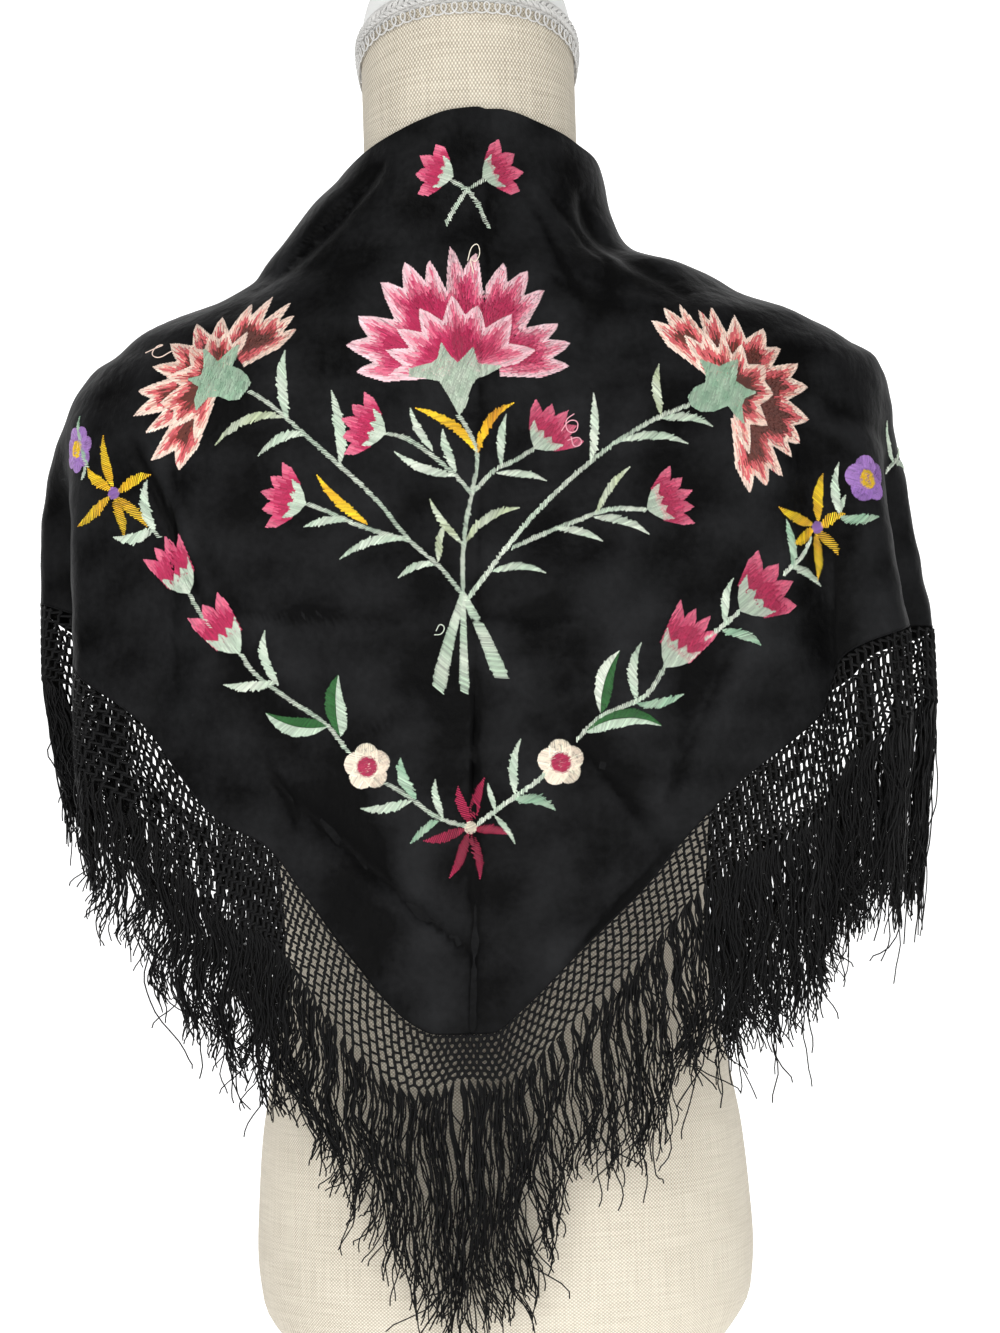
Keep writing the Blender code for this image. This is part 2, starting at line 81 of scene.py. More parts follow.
# place along the fold, then the turn and height of a line across the cloth: at the fold, midway, at the hem
CLOTH_LINES = (
    (-530, -158, 262, -158, 262, -157, 262), (-522, -158.4, 268, -157.5, 268, -156.5, 268),
    (-500, -158.6, 290, -156.5, 292, -154, 294), (-460, -159, 329, -153.5, 328, -148, 326),
    (-420, -159.4, 369, -149.8, 365, -140, 360), (-380, -159.8, 409, -144, 402, -128.5, 392),
    (-340, -160, 449, -134, 437, -112.5, 420), (-310, -160, 479, -117, 463, -98, 438),
    (-285, -160, 503, -100, 484, -88, 444), (-265, -159.5, 523, -84, 495, -77, 434),
    (-245, -159, 542, -74, 507, -66, 416), (-225, -158.5, 561, -65, 522, -59, 403),
    (-200, -156.5, 585, -57, 542, -47, 378), (-180, -151, 603, -51, 557, -40.8, 349),
    (-150, -142, 632, -44, 577, -33.9, 322), (-120, -126, 660, -36, 594, -27.9, 309),
    (-90, -85, 676, -26, 592, -22.8, 281), (-60, -52, 689, -16.5, 580, -17.2, 247),
    (-30, -22, 701, -8, 565, -10.8, 214), (-15, -8, 705, -3.5, 560, -7.4, 206.5),
    (0, 6, 706, 1, 560, -4.1, 206), (15, 20, 703, 4.5, 560, -0.7, 206.5), (30, 34, 698, 8.5, 565, 2.7, 217),
    (60, 60, 687, 16, 580, 10.1, 248), (90, 88, 674, 24.5, 592, 17.6, 278),
    (120, 112, 658, 34.5, 594, 25, 313), (150, 126, 632, 42, 577, 31.9, 338),
    (180, 150, 603, 49, 557, 39, 357), (200, 157, 585, 55.5, 542, 43.6, 369),
    (225, 159, 561, 64, 522, 49, 401), (245, 159.5, 542, 73.5, 507, 56.5, 411),
    (265, 159.5, 523, 84, 495, 67, 416), (285, 159.5, 503, 99, 484, 84, 416),
    (310, 159.6, 479, 116, 463, 98, 411), (340, 159.9, 449, 133, 435, 112.5, 402),
    (380, 160, 409, 144, 396, 128.5, 380), (420, 159.6, 369, 149.8, 361, 140, 352),
    (460, 159.2, 329, 153.5, 326, 148, 322), (500, 158.7, 290, 156.5, 291, 154, 292),
    (522, 158.5, 268, 157.5, 268, 156.5, 268), (530, 158, 262, 158, 262, 157, 262),
)

# turn, spread of the fold in degrees, swell, height where it starts, height where it is full
HANGING_FOLDS = (
    (-138, 8, -15, 470, 380), (-116, 8, -18, 520, 420), (-74, 8, -34, 552, 440), (-58, 6, 4, 540, 440),
    (-43, 4, -4.5, 570, 470), (47, 4.5, -7, 575, 470), (60, 6, 4, 540, 440), (76, 8, -24, 552, 440),
    (115, 8, -18, 520, 420), (137, 8, -15, 470, 380),
)

# name, depth, spread, then x and z along the line
BACK_FOLDS = (
    ("roll along the left shoulder", 4.5, 5.5, ((-52, 675), (-71, 655), (-95, 632), (-124, 610))),
    ("roll along the right shoulder", 4.5, 5.5, ((63, 658), (66, 643), (85, 621), (109, 610))),
    ("wave under the right roll", 2.5, 6, ((50, 603), (75, 598), (105, 595))),
    ("long fold to the corner", 2.5, 6, ((-108, 330), (-60, 290), (-10, 250))),
    ("fold by the right hem", 2, 5, ((58, 350), (85, 325), (98, 300))),
)

FOLD_END = 0.35  # the share of a back fold's depth that is left at its ends

NET_GAP = 0.8
# place along the fold, depth of the net straight down
NET_DEPTHS = (
    (-530, 32), (-480, 54), (-350, 52), (-315, 42), (-275, 42), (-240, 52), (-180, 50), (-75, 47),
    (-50, 44), (-30, 36), (-15, 27), (0, 23), (15, 25), (30, 29), (60, 32), (120, 34), (150, 40), (180, 48),
    (240, 52), (275, 42), (315, 42), (350, 52), (480, 54), (530, 32),
)

# place along the fold, length of the threads below the net
FRINGE_LENGTHS = (
    (-530, 122), (-400, 106), (-320, 82), (-280, 68), (-240, 66), (-205, 82), (-180, 84), (-150, 80),
    (-120, 98), (-100, 76), (-82, 98), (-62, 94), (-45, 106), (-30, 116), (0, 134), (28, 122), (45, 102),
    (60, 84), (75, 104), (90, 112), (105, 92), (120, 102), (150, 102), (180, 110), (205, 86), (225, 94),
    (245, 110), (285, 110), (320, 106), (400, 114), (530, 122),
)

# name, first and last place along the fold
RUNS = (
    ("front_left", -TAIL_END, -286), ("back_left", -285, -0.5), ("back_right", 0.5, 285),
    ("front_right", 286, TAIL_END),
)

# ---------------------------------------------------------------- finer shapes of the cloth

SILK_WALL = 1.2
SILK_COLUMNS = 144 * 3 + 1  # the inner face has one column for every three of the outer
SILK_ROWS = 50 * 3 + 1
INNER_STEP = 3
HEM_RADIUS = 0.65
HEM_SINK = 0.4
HEM_POINTS = 640
CREASE_PLACE = -9
CREASE_CROWDING = (0.7, 20)  # how the mesh's columns crowd together at the pressed crease: share, spread
EDGE_NOTCH = (4, 3.0, 2.2)  # notch of the fold at the pressed crease: place, spread, depth

# how fine creases and tucks run out at their ends: a share of their length, and a power
CREASE_MARGIN = 0.03
CREASE_FADE = 0.4

# Creases that are too fine for the solid: name, depth (negative is a ridge), spread, then across and height
CREASES = (
    ("fold beside the left star", 1.7, 3, ((-192, 529), (-173, 485), (-154, 440))),
    ("ridge beside the left star", -1.2, 4, ((-185, 531), (-166, 487), (-146, 440))),
    ("fork of the low left fold", 1.8, 2.4, ((-118, 350), (-108, 334), (-104, 318))),
    ("soft right fold", 1.1, 4.5, ((112, 385), (105, 352), (96, 326))),
    ("wrinkle inside the right roll", 1.4, 2.4, ((30, 657), (42, 636), (48, 617), (61, 595))),
    ("second wrinkle inside it", 1.2, 2.4, ((41, 661), (58, 640), (74, 619), (76, 599))),
    ("far right pucker", 1.3, 5, ((180, 550), (205, 534), (246, 519))),
    ("second far right pucker", 1.0, 4, ((172, 530), (205, 514), (236, 492))),
    ("soft left trough", 1.1, 9, ((-154, 462), (-132, 400), (-102, 353))),
    ("soft left rise", -1.0, 9, ((-140, 470), (-108, 410), (-84, 360))),
    ("soft right trough", 1.1, 10, ((150, 470), (122, 410), (96, 360))),
    ("soft right rise", -1.0, 9, ((168, 462), (140, 404), (118, 360))),
    ("rise above the corner", -1.2, 12, ((-50, 330), (-40, 280), (-26, 230))),
    ("front left crease", 1.2, 4, ((-420, 500), (-430, 440), (-436, 380))),
    ("front right crease", 1.2, 4, ((424, 500), (433, 440), (440, 380))),
    ("front left slant", 1.0, 4, ((-350, 520), (-372, 470), (-380, 430))),
    ("front right slant", 1.0, 4, ((352, 515), (372, 466), (384, 425))),
)

# Sharp folds where one side steps down under the other: name, drop, width of the step, length over which the
# lower side comes up again, then across and height. The lower side is on the right of the way along.
TUCKS = (
    ("centre crease", 5.0, 1.0, 2.2, ((-15, 190), (-11.5, 300), (-7, 396))),
    ("centre crease above", 1.6, 1.2, 3, ((-7, 384), (1, 542), (10, 700))),
    ("slit of the low left fold", 3.6, 1.2, 3, ((-16, 250), (-32, 263), (-54, 279))),
    ("low left fold", 2.4, 1.8, 7, ((-42, 271), (-70, 300), (-112, 336))),
    ("thin right crease", 2.8, 1.6, 5, ((95, 331), (102, 357), (112, 372), (134, 410))),
    ("right wave", 2.0, 2.4, 12, ((84, 307), (66, 332), (50, 358))),
    ("fold along the right hem", 1.8, 1.8, 8, ((37, 243), (58, 265), (90, 297))),
    ("slant from the stalks", 1.5, 1.6, 5, ((-3, 397), (20, 382), (38, 364))),
    ("small slant, left", 1.4, 1.6, 4, ((-66, 368), (-56, 371), (-47, 379))),
    ("level crease, left", 1.8, 1.6, 5, ((-46, 425), (-99, 429), (-132, 431))),
    ("level crease, right", 1.6, 1.6, 5, ((53, 422), (19, 425), (-9, 424))),
    ("upright crease, left", 1.6, 2.4, 9, ((-173, 396), (-173, 463), (-171, 510))),
    ("upright crease, right", 1.6, 2.4, 9, ((197, 400), (198, 451), (200, 500))),
    ("edge of the right roll", 2.6, 1.8, 7, ((70, 659), (74, 640), (92, 619), (112, 605), (122, 598))),
    ("arc under the right roll", 1.8, 1.8, 6, ((46, 609), (62, 594), (84, 590), (100, 593))),
    ("edge of the left roll", 2.2, 1.8, 7, ((-131, 611), (-103, 633), (-78, 656), (-56, 676))),
)

# across and up waves that no cloth is without: height, wavelength, direction in degrees
RIPPLES = (
    (0.45, 74, 12), (0.35, 47, 68), (0.28, 33, 141), (0.18, 21, 96),
)

# ---------------------------------------------------------------- net, fringe and braid

NET_PITCH = 3.6  # places from knot to knot
NET_ROWS = 8
NET_KNOT = 0.27  # half the knot's share of a row
NET_CORD = 0.8
NET_KNOT_CORD = 1.12
# where the corner's cords crowd together: place, spread, and how much thicker they look
NET_CROWDING = (7, 17, 0.35)
# place along the fold, how far the last row of knots lies further along, as the net hangs square to the hem
NET_SLANT = (
    (-530, 0), (-330, -6), (-240, -30), (-90, -31), (-60, -25), (-30, -12), (0, -2), (15, 0), (30, 3),
    (60, 13), (90, 18), (220, 20), (330, 6), (530, 0),
)

THREADS_PER_KNOT = {"back": 9, "front": 8}
THREAD_POINTS = 22
THREAD_RADIUS = 0.54
SIDE_DRIFT = 13  # how far inwards the threads' ends at both sides hang
CLUMP_SIZES = (1, 4)  # knots whose threads cling together: at least, and fewer than
CLUMP_HOLD = (0.42, 0.25, 0.8)  # how near threads come to their clump's middle: usual, spread and most
CLUMP_SWAY = 2.6  # how far a clump's threads sway to one side together
ROOT_SPREAD = 1.9  # how far from their knot the threads start
CRIMP = 0.55
STRAY_SHARE = 0.11  # the share of the threads that bow away from their clump, and how far
STRAY_REACH = 10
END_CURL = 3.6
MOST_OUT = 4.5  # how far out of the fringe's surface a thread may stand
LONG_SHARE = 0.07  # the share of the threads that hang longer, and by how much of their length
LONG_EXTRA = 0.22
HOOK_SHARE = 0.35  # the share of the threads whose ends turn up again
LOWEST_THREAD = 6

PLAIT_WAVES = 32
PLAIT_CENTRE = 3.9
PLAIT_REACH = 2.7
PLAIT_CORD = 0.72
PLAIT_SPREAD = 0.35  # how far the cords of one strand part at its turns
PLAIT_OUT = 2.1
PLAIT_WEAVE = 0.75  # how far a strand goes over and under the others
PLAIT_SLIDE = 1.15 / NECK_RADIUS * 57.3 * 0.9  # degrees between the cords of one strand
LOOP_COUNT = 66
LOOP_CENTRE = -3.9
LOOP_REACH = 2.8
LOOP_SLIDE = 2.6  # degrees that a loop leans to each side
LOOP_CORD = 0.55
LOOP_OUT = 1.9
LOOP_WEAVE = 0.55
TAPE_SECTION = ((0.6, 0.2), (1.3, 0.6), (1.3, 7.0), (0.6, 7.4))  # out from the linen, height above the seam
TAPE_SIDES = 120
PIPING_OUT = 0.9
PIPING_HEIGHT = 8.3
PIPING_RADIUS = 0.95
BRAID = ("gimp_braid", "neck_braid")

# ---------------------------------------------------------------- embroidery

STITCH_PITCH = 0.62
STITCH_RADIUS = 0.37
STEM_PITCH = 1.15
STEM_STITCH_RADIUS = 0.46
STEM_HALF = 1.15
STEM_MOTTLE = 0.16  # how uneven the tone of a stem's or leaf's stitches is
LIFT_JITTER = 0.06
# a stitch's points: shares of the way along it, and how high each stands, as a share of its puff
STITCH_SHARES = (0.0, 0.5, 1.0)
STITCH_RISE = (-0.3, 1.0, -0.3)

# sRGB colours of the threads
THREADS = {
    "pale pink": (0.955, 0.80, 0.825), "shell": (0.93, 0.67, 0.72), "mid pink": (0.88, 0.44, 0.55),
    "rose": (0.80, 0.25, 0.42), "magenta": (0.72, 0.14, 0.33), "wine": (0.58, 0.08, 0.24),
    "cream": (0.955, 0.85, 0.79), "peach": (0.90, 0.66, 0.60), "coral": (0.86, 0.40, 0.42),
    "brick": (0.66, 0.24, 0.24), "brown": (0.40, 0.19, 0.15), "sage": (0.72, 0.79, 0.71),
    "pale sage": (0.82, 0.85, 0.79), "mint": (0.58, 0.72, 0.61), "olive": (0.69, 0.73, 0.60),
    "dark green": (0.13, 0.36, 0.15), "yellow": (0.96, 0.80, 0.12), "ochre": (0.84, 0.60, 0.08),
    "purple": (0.60, 0.43, 0.72), "lilac": (0.72, 0.56, 0.80), "ivory": (0.95, 0.91, 0.83),
    "burgundy": (0.62, 0.07, 0.24),
}

# name, lines of its stem as across and height
STEMS = (
   
    ("left main", (
        (-123, 552), (-114, 546), (-94, 528), (-75, 510), (-54, 489), (-39, 469), (-24, 455), (-12, 440),
    )),
    ("pink A", ((-49, 526), (-41, 524), (-26, 514), (-13, 502), (-5, 493))),
    ("pink B", ((-93, 490), (-83, 486), (-62, 476), (-40, 469))),
    ("middle", ((-10, 534), (-5, 525), (-1, 511), (-4, 495), (-9, 472), (-11, 450), (-11, 439))),
    ("pink C", ((29, 515), (18, 509), (9, 505), (-4, 493))),
    ("right main", ((114, 537), (98, 531), (74, 518), (51, 501), (28, 480), (7, 456), (-9, 436))),
    ("pink D", ((88, 481), (73, 482), (47, 475), (16, 463))),
    ("top left", ((-12, 666), (-2, 659), (4, 650), (9, 638))),
    ("top right", ((8, 665), (-2, 659), (-8, 651), (-14, 641))),
    ("garland L0", ((-234, 525), (-229, 523), (-225, 517))),
    ("garland L1", ((-187, 487), (-182, 479), (-179, 476))),
    ("garland L2", ((-160, 444), (-155, 435), (-149, 426))),
    ("garland L3", ((-132, 411), (-126, 402), (-106, 386), (-85, 371), (-75, 357))),
    ("garland L4", ((-55, 340), (-44, 333), (-28, 321), (-14, 316))),
    ("garland R4", ((-7, 317), (3, 324), (24, 338), (29, 342))),
    ("garland R3", ((47, 360), (61, 372), (84, 382), (95, 396))),
    ("garland R2", ((118, 411), (127, 417), (137, 425))),
    ("garland R1", ((163, 445), (169, 449), (178, 456), (185, 464))),
    ("garland R0", ((261, 502), (268, 507), (282, 515))),
)

# base across, base height, tip across, tip height, width, bend to the left of the way up, colour
LEAVES = (
    (-103, 536, -103, 573, 6.2, 0.05, "sage"), (-105, 537, -143, 524, 4.8, -0.16, "olive"),
    (-94, 527, -119, 517, 4.6, -0.14, "sage"), (-75, 510, -78, 550, 6.4, -0.06, "sage"),
    (-25, 516, -36, 539, 4.2, 0.05, "pale sage"), (-13, 502, -45, 516, 4.6, 0.07, "pale sage"),
    (-13, 504, -19, 527, 4.6, 0.04, "sage"), (-72, 480, -95, 478, 4.5, -0.08, "sage"),
    (-41, 469, -76, 460, 4.8, -0.12, "sage"), (-26, 455, -45, 449, 3.8, -0.14, "sage"),
    (-24, 457, -19, 477, 4.0, 0.06, "olive"), (-11, 466, -27, 490, 3.8, 0.05, "olive"),
    (11, 507, 15, 534, 4.2, 0.04, "sage"), (9, 503, 35, 498, 3.8, 0.06, "pale sage"),
    (-9, 467, 20, 484, 4.8, 0.12, "olive"), (98, 532, 98, 559, 4.8, 0.06, "olive"),
    (99, 530, 126, 525, 4.8, 0.1, "sage"), (75, 518, 112, 516, 4.8, 0.1, "sage"),
    (59, 508, 62, 544, 4.8, -0.04, "pale sage"), (61, 480, 80, 504, 3.8, 0.06, "olive"),
    (60, 478, 89, 468, 4.6, 0.08, "pale sage"), (39, 473, 64, 465, 4.2, 0.05, "pale sage"),
    (5, 451, 33, 449, 4.2, 0.1, "sage"), (-61, 478, -87, 505, 5.0, 0.05, "yellow"),
    (-2, 515, -33, 539, 5.0, -0.1, "yellow"), (-1, 514, 19, 540, 5.0, 0.14, "ochre"),
    (-224, 518, -234, 545, 5.0, 0.1, "mint"), (-225, 517, -228, 510, 3.0, 0, "sage"),
    (-182, 479, -185, 507, 6.0, 0.1, "sage"), (-182, 480, -205, 477, 6.2, 0.1, "sage"),
    (-112, 394, -118, 423, 5.4, 0.12, "sage"), (-113, 395, -142, 395, 5.4, 0.04, "pale sage"),
    (-40, 331, -47, 353, 5.8, 0.08, "mint"), (-42, 330, -69, 327, 5.0, 0.06, "sage"),
    (-26, 321, -29, 341, 4.0, 0.06, "sage"), (-28, 319, -43, 308, 4.0, -0.06, "mint"),
    (2, 324, -1, 338, 2.8, 0, "sage"), (2, 321, 12, 306, 3.0, 0.05, "sage"),
    (13, 332, 17, 361, 5.0, 0.08, "sage"), (13, 330, 34, 323, 6.2, 0.1, "mint"),
    (79, 380, 83, 410, 5.4, 0.1, "sage"), (80, 378, 105, 382, 5.0, -0.08, "mint"),
    (129, 419, 135, 443, 4.6, 0.08, "sage"), (128, 416, 148, 407, 5.8, 0.06, "mint"),
    (168, 449, 167, 474, 5.4, -0.08, "mint"), (169, 449, 189, 438, 5.4, 0.06, "sage"),
    (201, 477, 202, 505, 5.0, 0.08, "sage"), (202, 476, 224, 475, 5.8, -0.08, "mint"),
    (201, 478, 205, 487, 3.0, 0, "sage"), (268, 507, 256, 530, 4.6, 0.08, "sage"),
    (270, 508, 285, 504, 4.6, 0.05, "sage"),
)

# base and tip as above, width, bend, colour left of the way up, colour right of it
TWO_TONE_LEAVES = (
    (-79, 366, -79, 398, 12, 0.06, "dark green", "sage"),
    (-86, 371, -119, 379, 11, 0.1, "sage", "dark green"),
    (60, 374, 71, 406, 10.5, 0.08, "pale sage", "dark green"),
    (52, 364, 92, 366, 10.5, 0.14, "dark green", "sage"),
)

# base across and height, tip across and height, half of the fan's opening in degrees, teeth
PINKS = (
    (-49, 526, -74, 535, 72, 5), (-93, 490, -119, 498, 72, 5), (29, 515, 48, 535, 66, 5),
    (88, 481, 114, 491, 64, 5), (-9, 667, -31, 675, 76, 4), (6, 666, 29, 675, 76, 4),
    (-160, 444, -178, 472, 44, 4), (-132, 411, -152, 437, 40, 3), (95, 396, 116, 424, 42, 4),
    (137, 425, 165, 446, 60, 4),
)

# petal tips of the stars as across and height, with centre, petal colours and centre colour
STARS = (
   
    ((-205, 501), (
        (-213, 533), (-183, 510), (-186, 482), (-199, 477), (-228, 484), (-224, 516),
    ), "yellow", "purple"),
    ((189, 470), (
        (193, 499), (163, 481), (170, 461), (187, 441), (200, 455), (204, 477),
    ), "yellow", "purple"),
    ((-11, 315), ((-17, 337), (-3, 341), (9, 311), (-7, 288), (-23, 289), (-36, 309)), "burgundy", "ivory"),
)

# centre, reach across and up, number of petals, petal colour, centre colour, centre's reach across and up
DAISIES = (
    ((-234, 527), (12.5, 13), 7, "purple", "yellow", (4.6, 5.2)),
    ((220, 496), (15, 13), 5, "purple", "yellow", (6, 5.4)),
    ((-65, 349), (12.5, 12.5), 5, "ivory", "magenta", (5, 5)),
    ((38, 348), (12.5, 12.5), 5, "ivory", "magenta", (5, 5)),
)

# bottom of the stalks below the knot of the stems: across, height, width at the bottom
STALKS = (
    (-26, 389, 8.5), (-12, 387, 5.5), (8, 394, 8.5),
)
STALK_HUB = (-11, 439)


def smooth(stations, values, at):
    """A curve through the rows of a short table that never swings past them (monotone cubic)."""
    stations = np.asarray(stations, float)
    values = np.asarray(values, float)
    at = np.clip(np.asarray(at, float), stations[0], stations[-1])
    steps = np.diff(stations)
    slopes = np.diff(values) / steps
    tangents = np.zeros(len(values))
    before, after = slopes[:-1], slopes[1:]
    rising = before * after > 0
    tangents[1:-1][rising] = 2 / (1 / before[rising] + 1 / after[rising])
    tangents[0], tangents[-1] = slopes[0], slopes[-1]
    row = np.clip(np.searchsorted(stations, at, side="right") - 1, 0, len(steps) - 1)
    share = (at - stations[row]) / steps[row]
    back = 1 - share
    return (
        values[row] * (1 + 2 * share) * back**2
        + tangents[row] * steps[row] * share * back**2
        + values[row + 1] * (3 - 2 * share) * share**2
        - tangents[row + 1] * steps[row] * share**2 * back
    )


def read(table, at):
    """Every column of a table after its first, smoothed at one or many places."""
    rows = np.asarray(table, float)
    return [smooth(rows[:, 0], rows[:, column], at) for column in range(1, rows.shape[1])]


def ramp(value, start, full):
    """0 at start, 1 at full, with a soft ease between them."""
    share = np.clip((value - start) / (full - start), 0, 1)
    return share * share * (3 - 2 * share)


def section_point(turn, half_width, behind, before):
    """A point of a level superellipse section at a turn, as x and y."""
    angle = np.radians(turn)
    across, back = np.sin(angle), np.cos(angle)
    size = (np.abs(across) ** SQUARENESS + np.abs(back) ** SQUARENESS) ** (1 / SQUARENESS)
    return half_width * across / size, -np.where(back > 0, behind, before) * back / size


def line_distance(x, z, line):
    """How far points lie from a line of short straight runs, and 0 to 1 for how far along it they are."""
    nearest = np.full(np.shape(x), np.inf)
    along = np.zeros(np.shape(x))
    runs = len(line) - 1
    for run in range(runs):
        (x0, z0), (x1, z1) = line[run], line[run + 1]
        dx, dz = x1 - x0, z1 - z0
        share = np.clip(((x - x0) * dx + (z - z0) * dz) / (dx * dx + dz * dz), 0, 1)
        away = np.hypot(x - x0 - share * dx, z - z0 - share * dz)
        closer = away < nearest
        nearest = np.where(closer, away, nearest)
        along = np.where(closer, (run + share) / runs, along)
    return nearest, along


def side_of(x, z, line):
    """1 on the right of the way along a nearly straight line, and -1 on its left."""
    (x0, z0), (x1, z1) = line[0], line[-1]
    return np.where((x - x0) * (z1 - z0) - (z - z0) * (x1 - x0) > 0, 1.0, -1.0)


def fade(along, margin, power):
    """How much of a fold there is along its line: all of it in the middle, and little at both ends."""
    return np.sin(np.pi * np.clip(along, margin, 1 - margin)) ** power


def drape_point(turn, height):
    """The outside of the cloth at a turn and a height, with its folds."""
    turn, height = np.broadcast_arrays(np.asarray(turn, float), np.asarray(height, float))
    left, right, behind, before = read(DRAPE_SECTIONS, height)
    half_width = np.where(turn < 0, left, right)
    depth = np.where(np.abs(turn) < 90, behind, before)
    x, y = section_point(turn, half_width, behind, before)
    out_x, out_y = x / half_width**2, y / depth**2
    size = np.hypot(out_x, out_y)
    out_x, out_y = out_x / size, out_y / size
    swell = np.zeros(turn.shape)
    for fold_turn, spread, rise, start, full in HANGING_FOLDS:
        swell += rise * np.exp(-(((turn - fold_turn) / spread) ** 2)) * ramp(height, start, full)
    for _name, sink, spread, line in BACK_FOLDS:
        away, along = line_distance(x, height, line)
        ends = FOLD_END + (1 - FOLD_END) * fade(along, 0.02, 0.5)
        swell -= np.where(y < 0, sink * ends * np.exp(-((away / spread) ** 2)), 0)
    return clear_of_form(x + out_x * swell, y + out_y * swell, height)


def clear_of_form(x, y, height):
    """Moves points that would sink into the form straight out, until the cloth just rests on the linen."""
    half_width, behind, before = read(FORM_SECTIONS, height - CLOTH_REST)
    half_width, depth = half_width + CLOTH_REST, np.where(y < 0, behind, before) + CLOTH_REST
    inside = (np.abs(x / half_width) ** SQUARENESS + np.abs(y / depth) ** SQUARENESS) ** (1 / SQUARENESS)
    push = np.maximum(1, 1 / np.maximum(inside, 1e-6))
    return np.stack([x * push, y * push, height], axis=-1)


def neck_points(turns, out, height):
    """Points round the neck beside the cap's seam: out from the linen, and height above the seam."""
    x, y = section_point(turns, NECK_RADIUS + out, NECK_DEPTH + out, NECK_DEPTH + out)
    return np.stack([x, y, NECK_JOIN - y * math.tan(NECK_TILT) + height], axis=-1)


def unit(vectors):
    return vectors / np.maximum(np.linalg.norm(vectors, axis=-1, keepdims=True), 1e-9)


class Silk:
    """The outside of the silk with its fine creases, read at any turn and height or across and height."""

    TURN_STEP = 0.25
    TURN_END = 166
    LOW = 186
    HIGH = 708
    ACROSS_END = 640

    def __init__(self):
        self.turns = np.arange(-self.TURN_END, self.TURN_END + 0.01, self.TURN_STEP)
        self.heights = np.arange(self.LOW, self.HIGH + 0.5, 1.0)
        turn, height = np.meshgrid(self.turns, self.heights, indexing="ij")
        points = drape_point(turn, height)
        normals = self.normals_of(points)
        left, right, behind, before = read(DRAPE_SECTIONS, height)
        x, y = section_point(turn, np.where(turn < 0, left, right), behind, before)
        steps = np.hypot(np.diff(x, axis=0), np.diff(y, axis=0))
        across = np.concatenate([np.zeros((1, len(self.heights))), np.cumsum(steps, axis=0)])
        across -= across[len(self.turns) // 2]
        self.relief = self.fine_relief(across, height)
        self.points = points + normals * self.relief[..., None]
        self.normals = self.normals_of(self.points)
        self.places = np.arange(-self.ACROSS_END, self.ACROSS_END + 1.0)
        rows = [np.interp(self.places, across[:, row], self.turns) for row in range(len(self.heights))]
        self.turn_table = np.stack(rows, axis=1)

    @staticmethod
    def normals_of(points):
        return unit(np.cross(np.gradient(points, axis=0), np.gradient(points, axis=1)))

    @staticmethod
    def fine_relief(across, height):
        """How far the silk stands out of the drape by its creases, tucks and ripples."""
        relief = np.zeros(across.shape)
        for _name, depth, spread, line in CREASES:
            away, along = line_distance(across, height, line)
            relief -= depth * fade(along, CREASE_MARGIN, CREASE_FADE) * np.exp(-((away / spread) ** 2))
        for _name, drop, step, reach, line in TUCKS:
            away, along = line_distance(across, height, line)
            away = away * side_of(across, height, line)
            under = ramp(away, -step / 2, step / 2) * np.exp(-np.maximum(away, 0) / reach)
            relief -= drop * fade(along, CREASE_MARGIN, CREASE_FADE) * under
        for order, (rise, length, direction) in enumerate(RIPPLES):
            angle = math.radians(direction)
            way = across * math.cos(angle) + height * math.sin(angle)
            bend = 6 * np.sin(across / 37 + order) + 5 * np.sin(height / 29 + 2 * order)
            relief += rise * np.sin(math.tau * (way + bend) / length + order)
        return relief

    @staticmethod
    def between(table, first, second):
        """The table's value between its rows and columns, at row and column numbers with fractions."""
        first = np.clip(first, 0, table.shape[0] - 1.001)
        second = np.clip(second, 0, table.shape[1] - 1.001)
        row, column = first.astype(int), second.astype(int)
        share, slide = first - row, second - column
        if table.ndim == 3:
            share, slide = share[..., None], slide[..., None]
        low = table[row, column] * (1 - share) + table[row + 1, column] * share
        high = table[row, column + 1] * (1 - share) + table[row + 1, column + 1] * share
        return low * (1 - slide) + high * slide

    def at(self, turn, height, lift=0.0):
        """Points of the silk, lifted off it by some millimetres."""
        turn, height = np.broadcast_arrays(np.asarray(turn, float), np.asarray(height, float))
        cell = (turn + self.TURN_END) / self.TURN_STEP, height - self.LOW
        lift = np.broadcast_to(np.asarray(lift, float), turn.shape)[..., None]
        return self.between(self.points, *cell) + lift * self.between(self.normals, *cell)

    def relief_at(self, turn, height):
        return self.between(self.relief, (turn + self.TURN_END) / self.TURN_STEP, height - self.LOW)

    def across_at(self, across, height, lift=0.0):
        cell = np.asarray(across) + self.ACROSS_END, np.asarray(height) - self.LOW
        return self.at(self.between(self.turn_table, *cell), height, lift)


def cloth_line(place, shares):
    """Turns and heights of one line across the cloth, from the folded edge (share 0) to the hem (share 1)."""
    edge_turn, edge_z, mid_turn, mid_z, hem_turn, hem_z = (float(v) for v in read(CLOTH_LINES, place))
    reach = abs(edge_z - hem_z) + 1e-6
    middle = min(0.75, max(0.3, abs(edge_z - mid_z) / reach))
    steps = np.linspace(0, 1, 160)
    turns = smooth((0, middle, 1), (edge_turn, mid_turn, hem_turn), steps)
    heights = smooth((0, middle, 1), (edge_z, mid_z, hem_z), steps)
    points = drape_point(turns, heights)
    lengths = np.concatenate([[0], np.cumsum(np.linalg.norm(np.diff(points, axis=0), axis=1))])
    at = np.interp(shares * lengths[-1], lengths, steps)
    notch_place, spread, depth = EDGE_NOTCH
    notch = depth * math.exp(-(((place - notch_place) / spread) ** 2)) * (1 - shares) ** 24
    return np.interp(at, steps, turns), np.interp(at, steps, heights) - notch


def below_hem(places, drops):
    """Points straight below the hem, on the surface that the cloth would go on along."""
    rows = read(CLOTH_LINES, places)
    return drape_point(rows[4], rows[5] - drops)


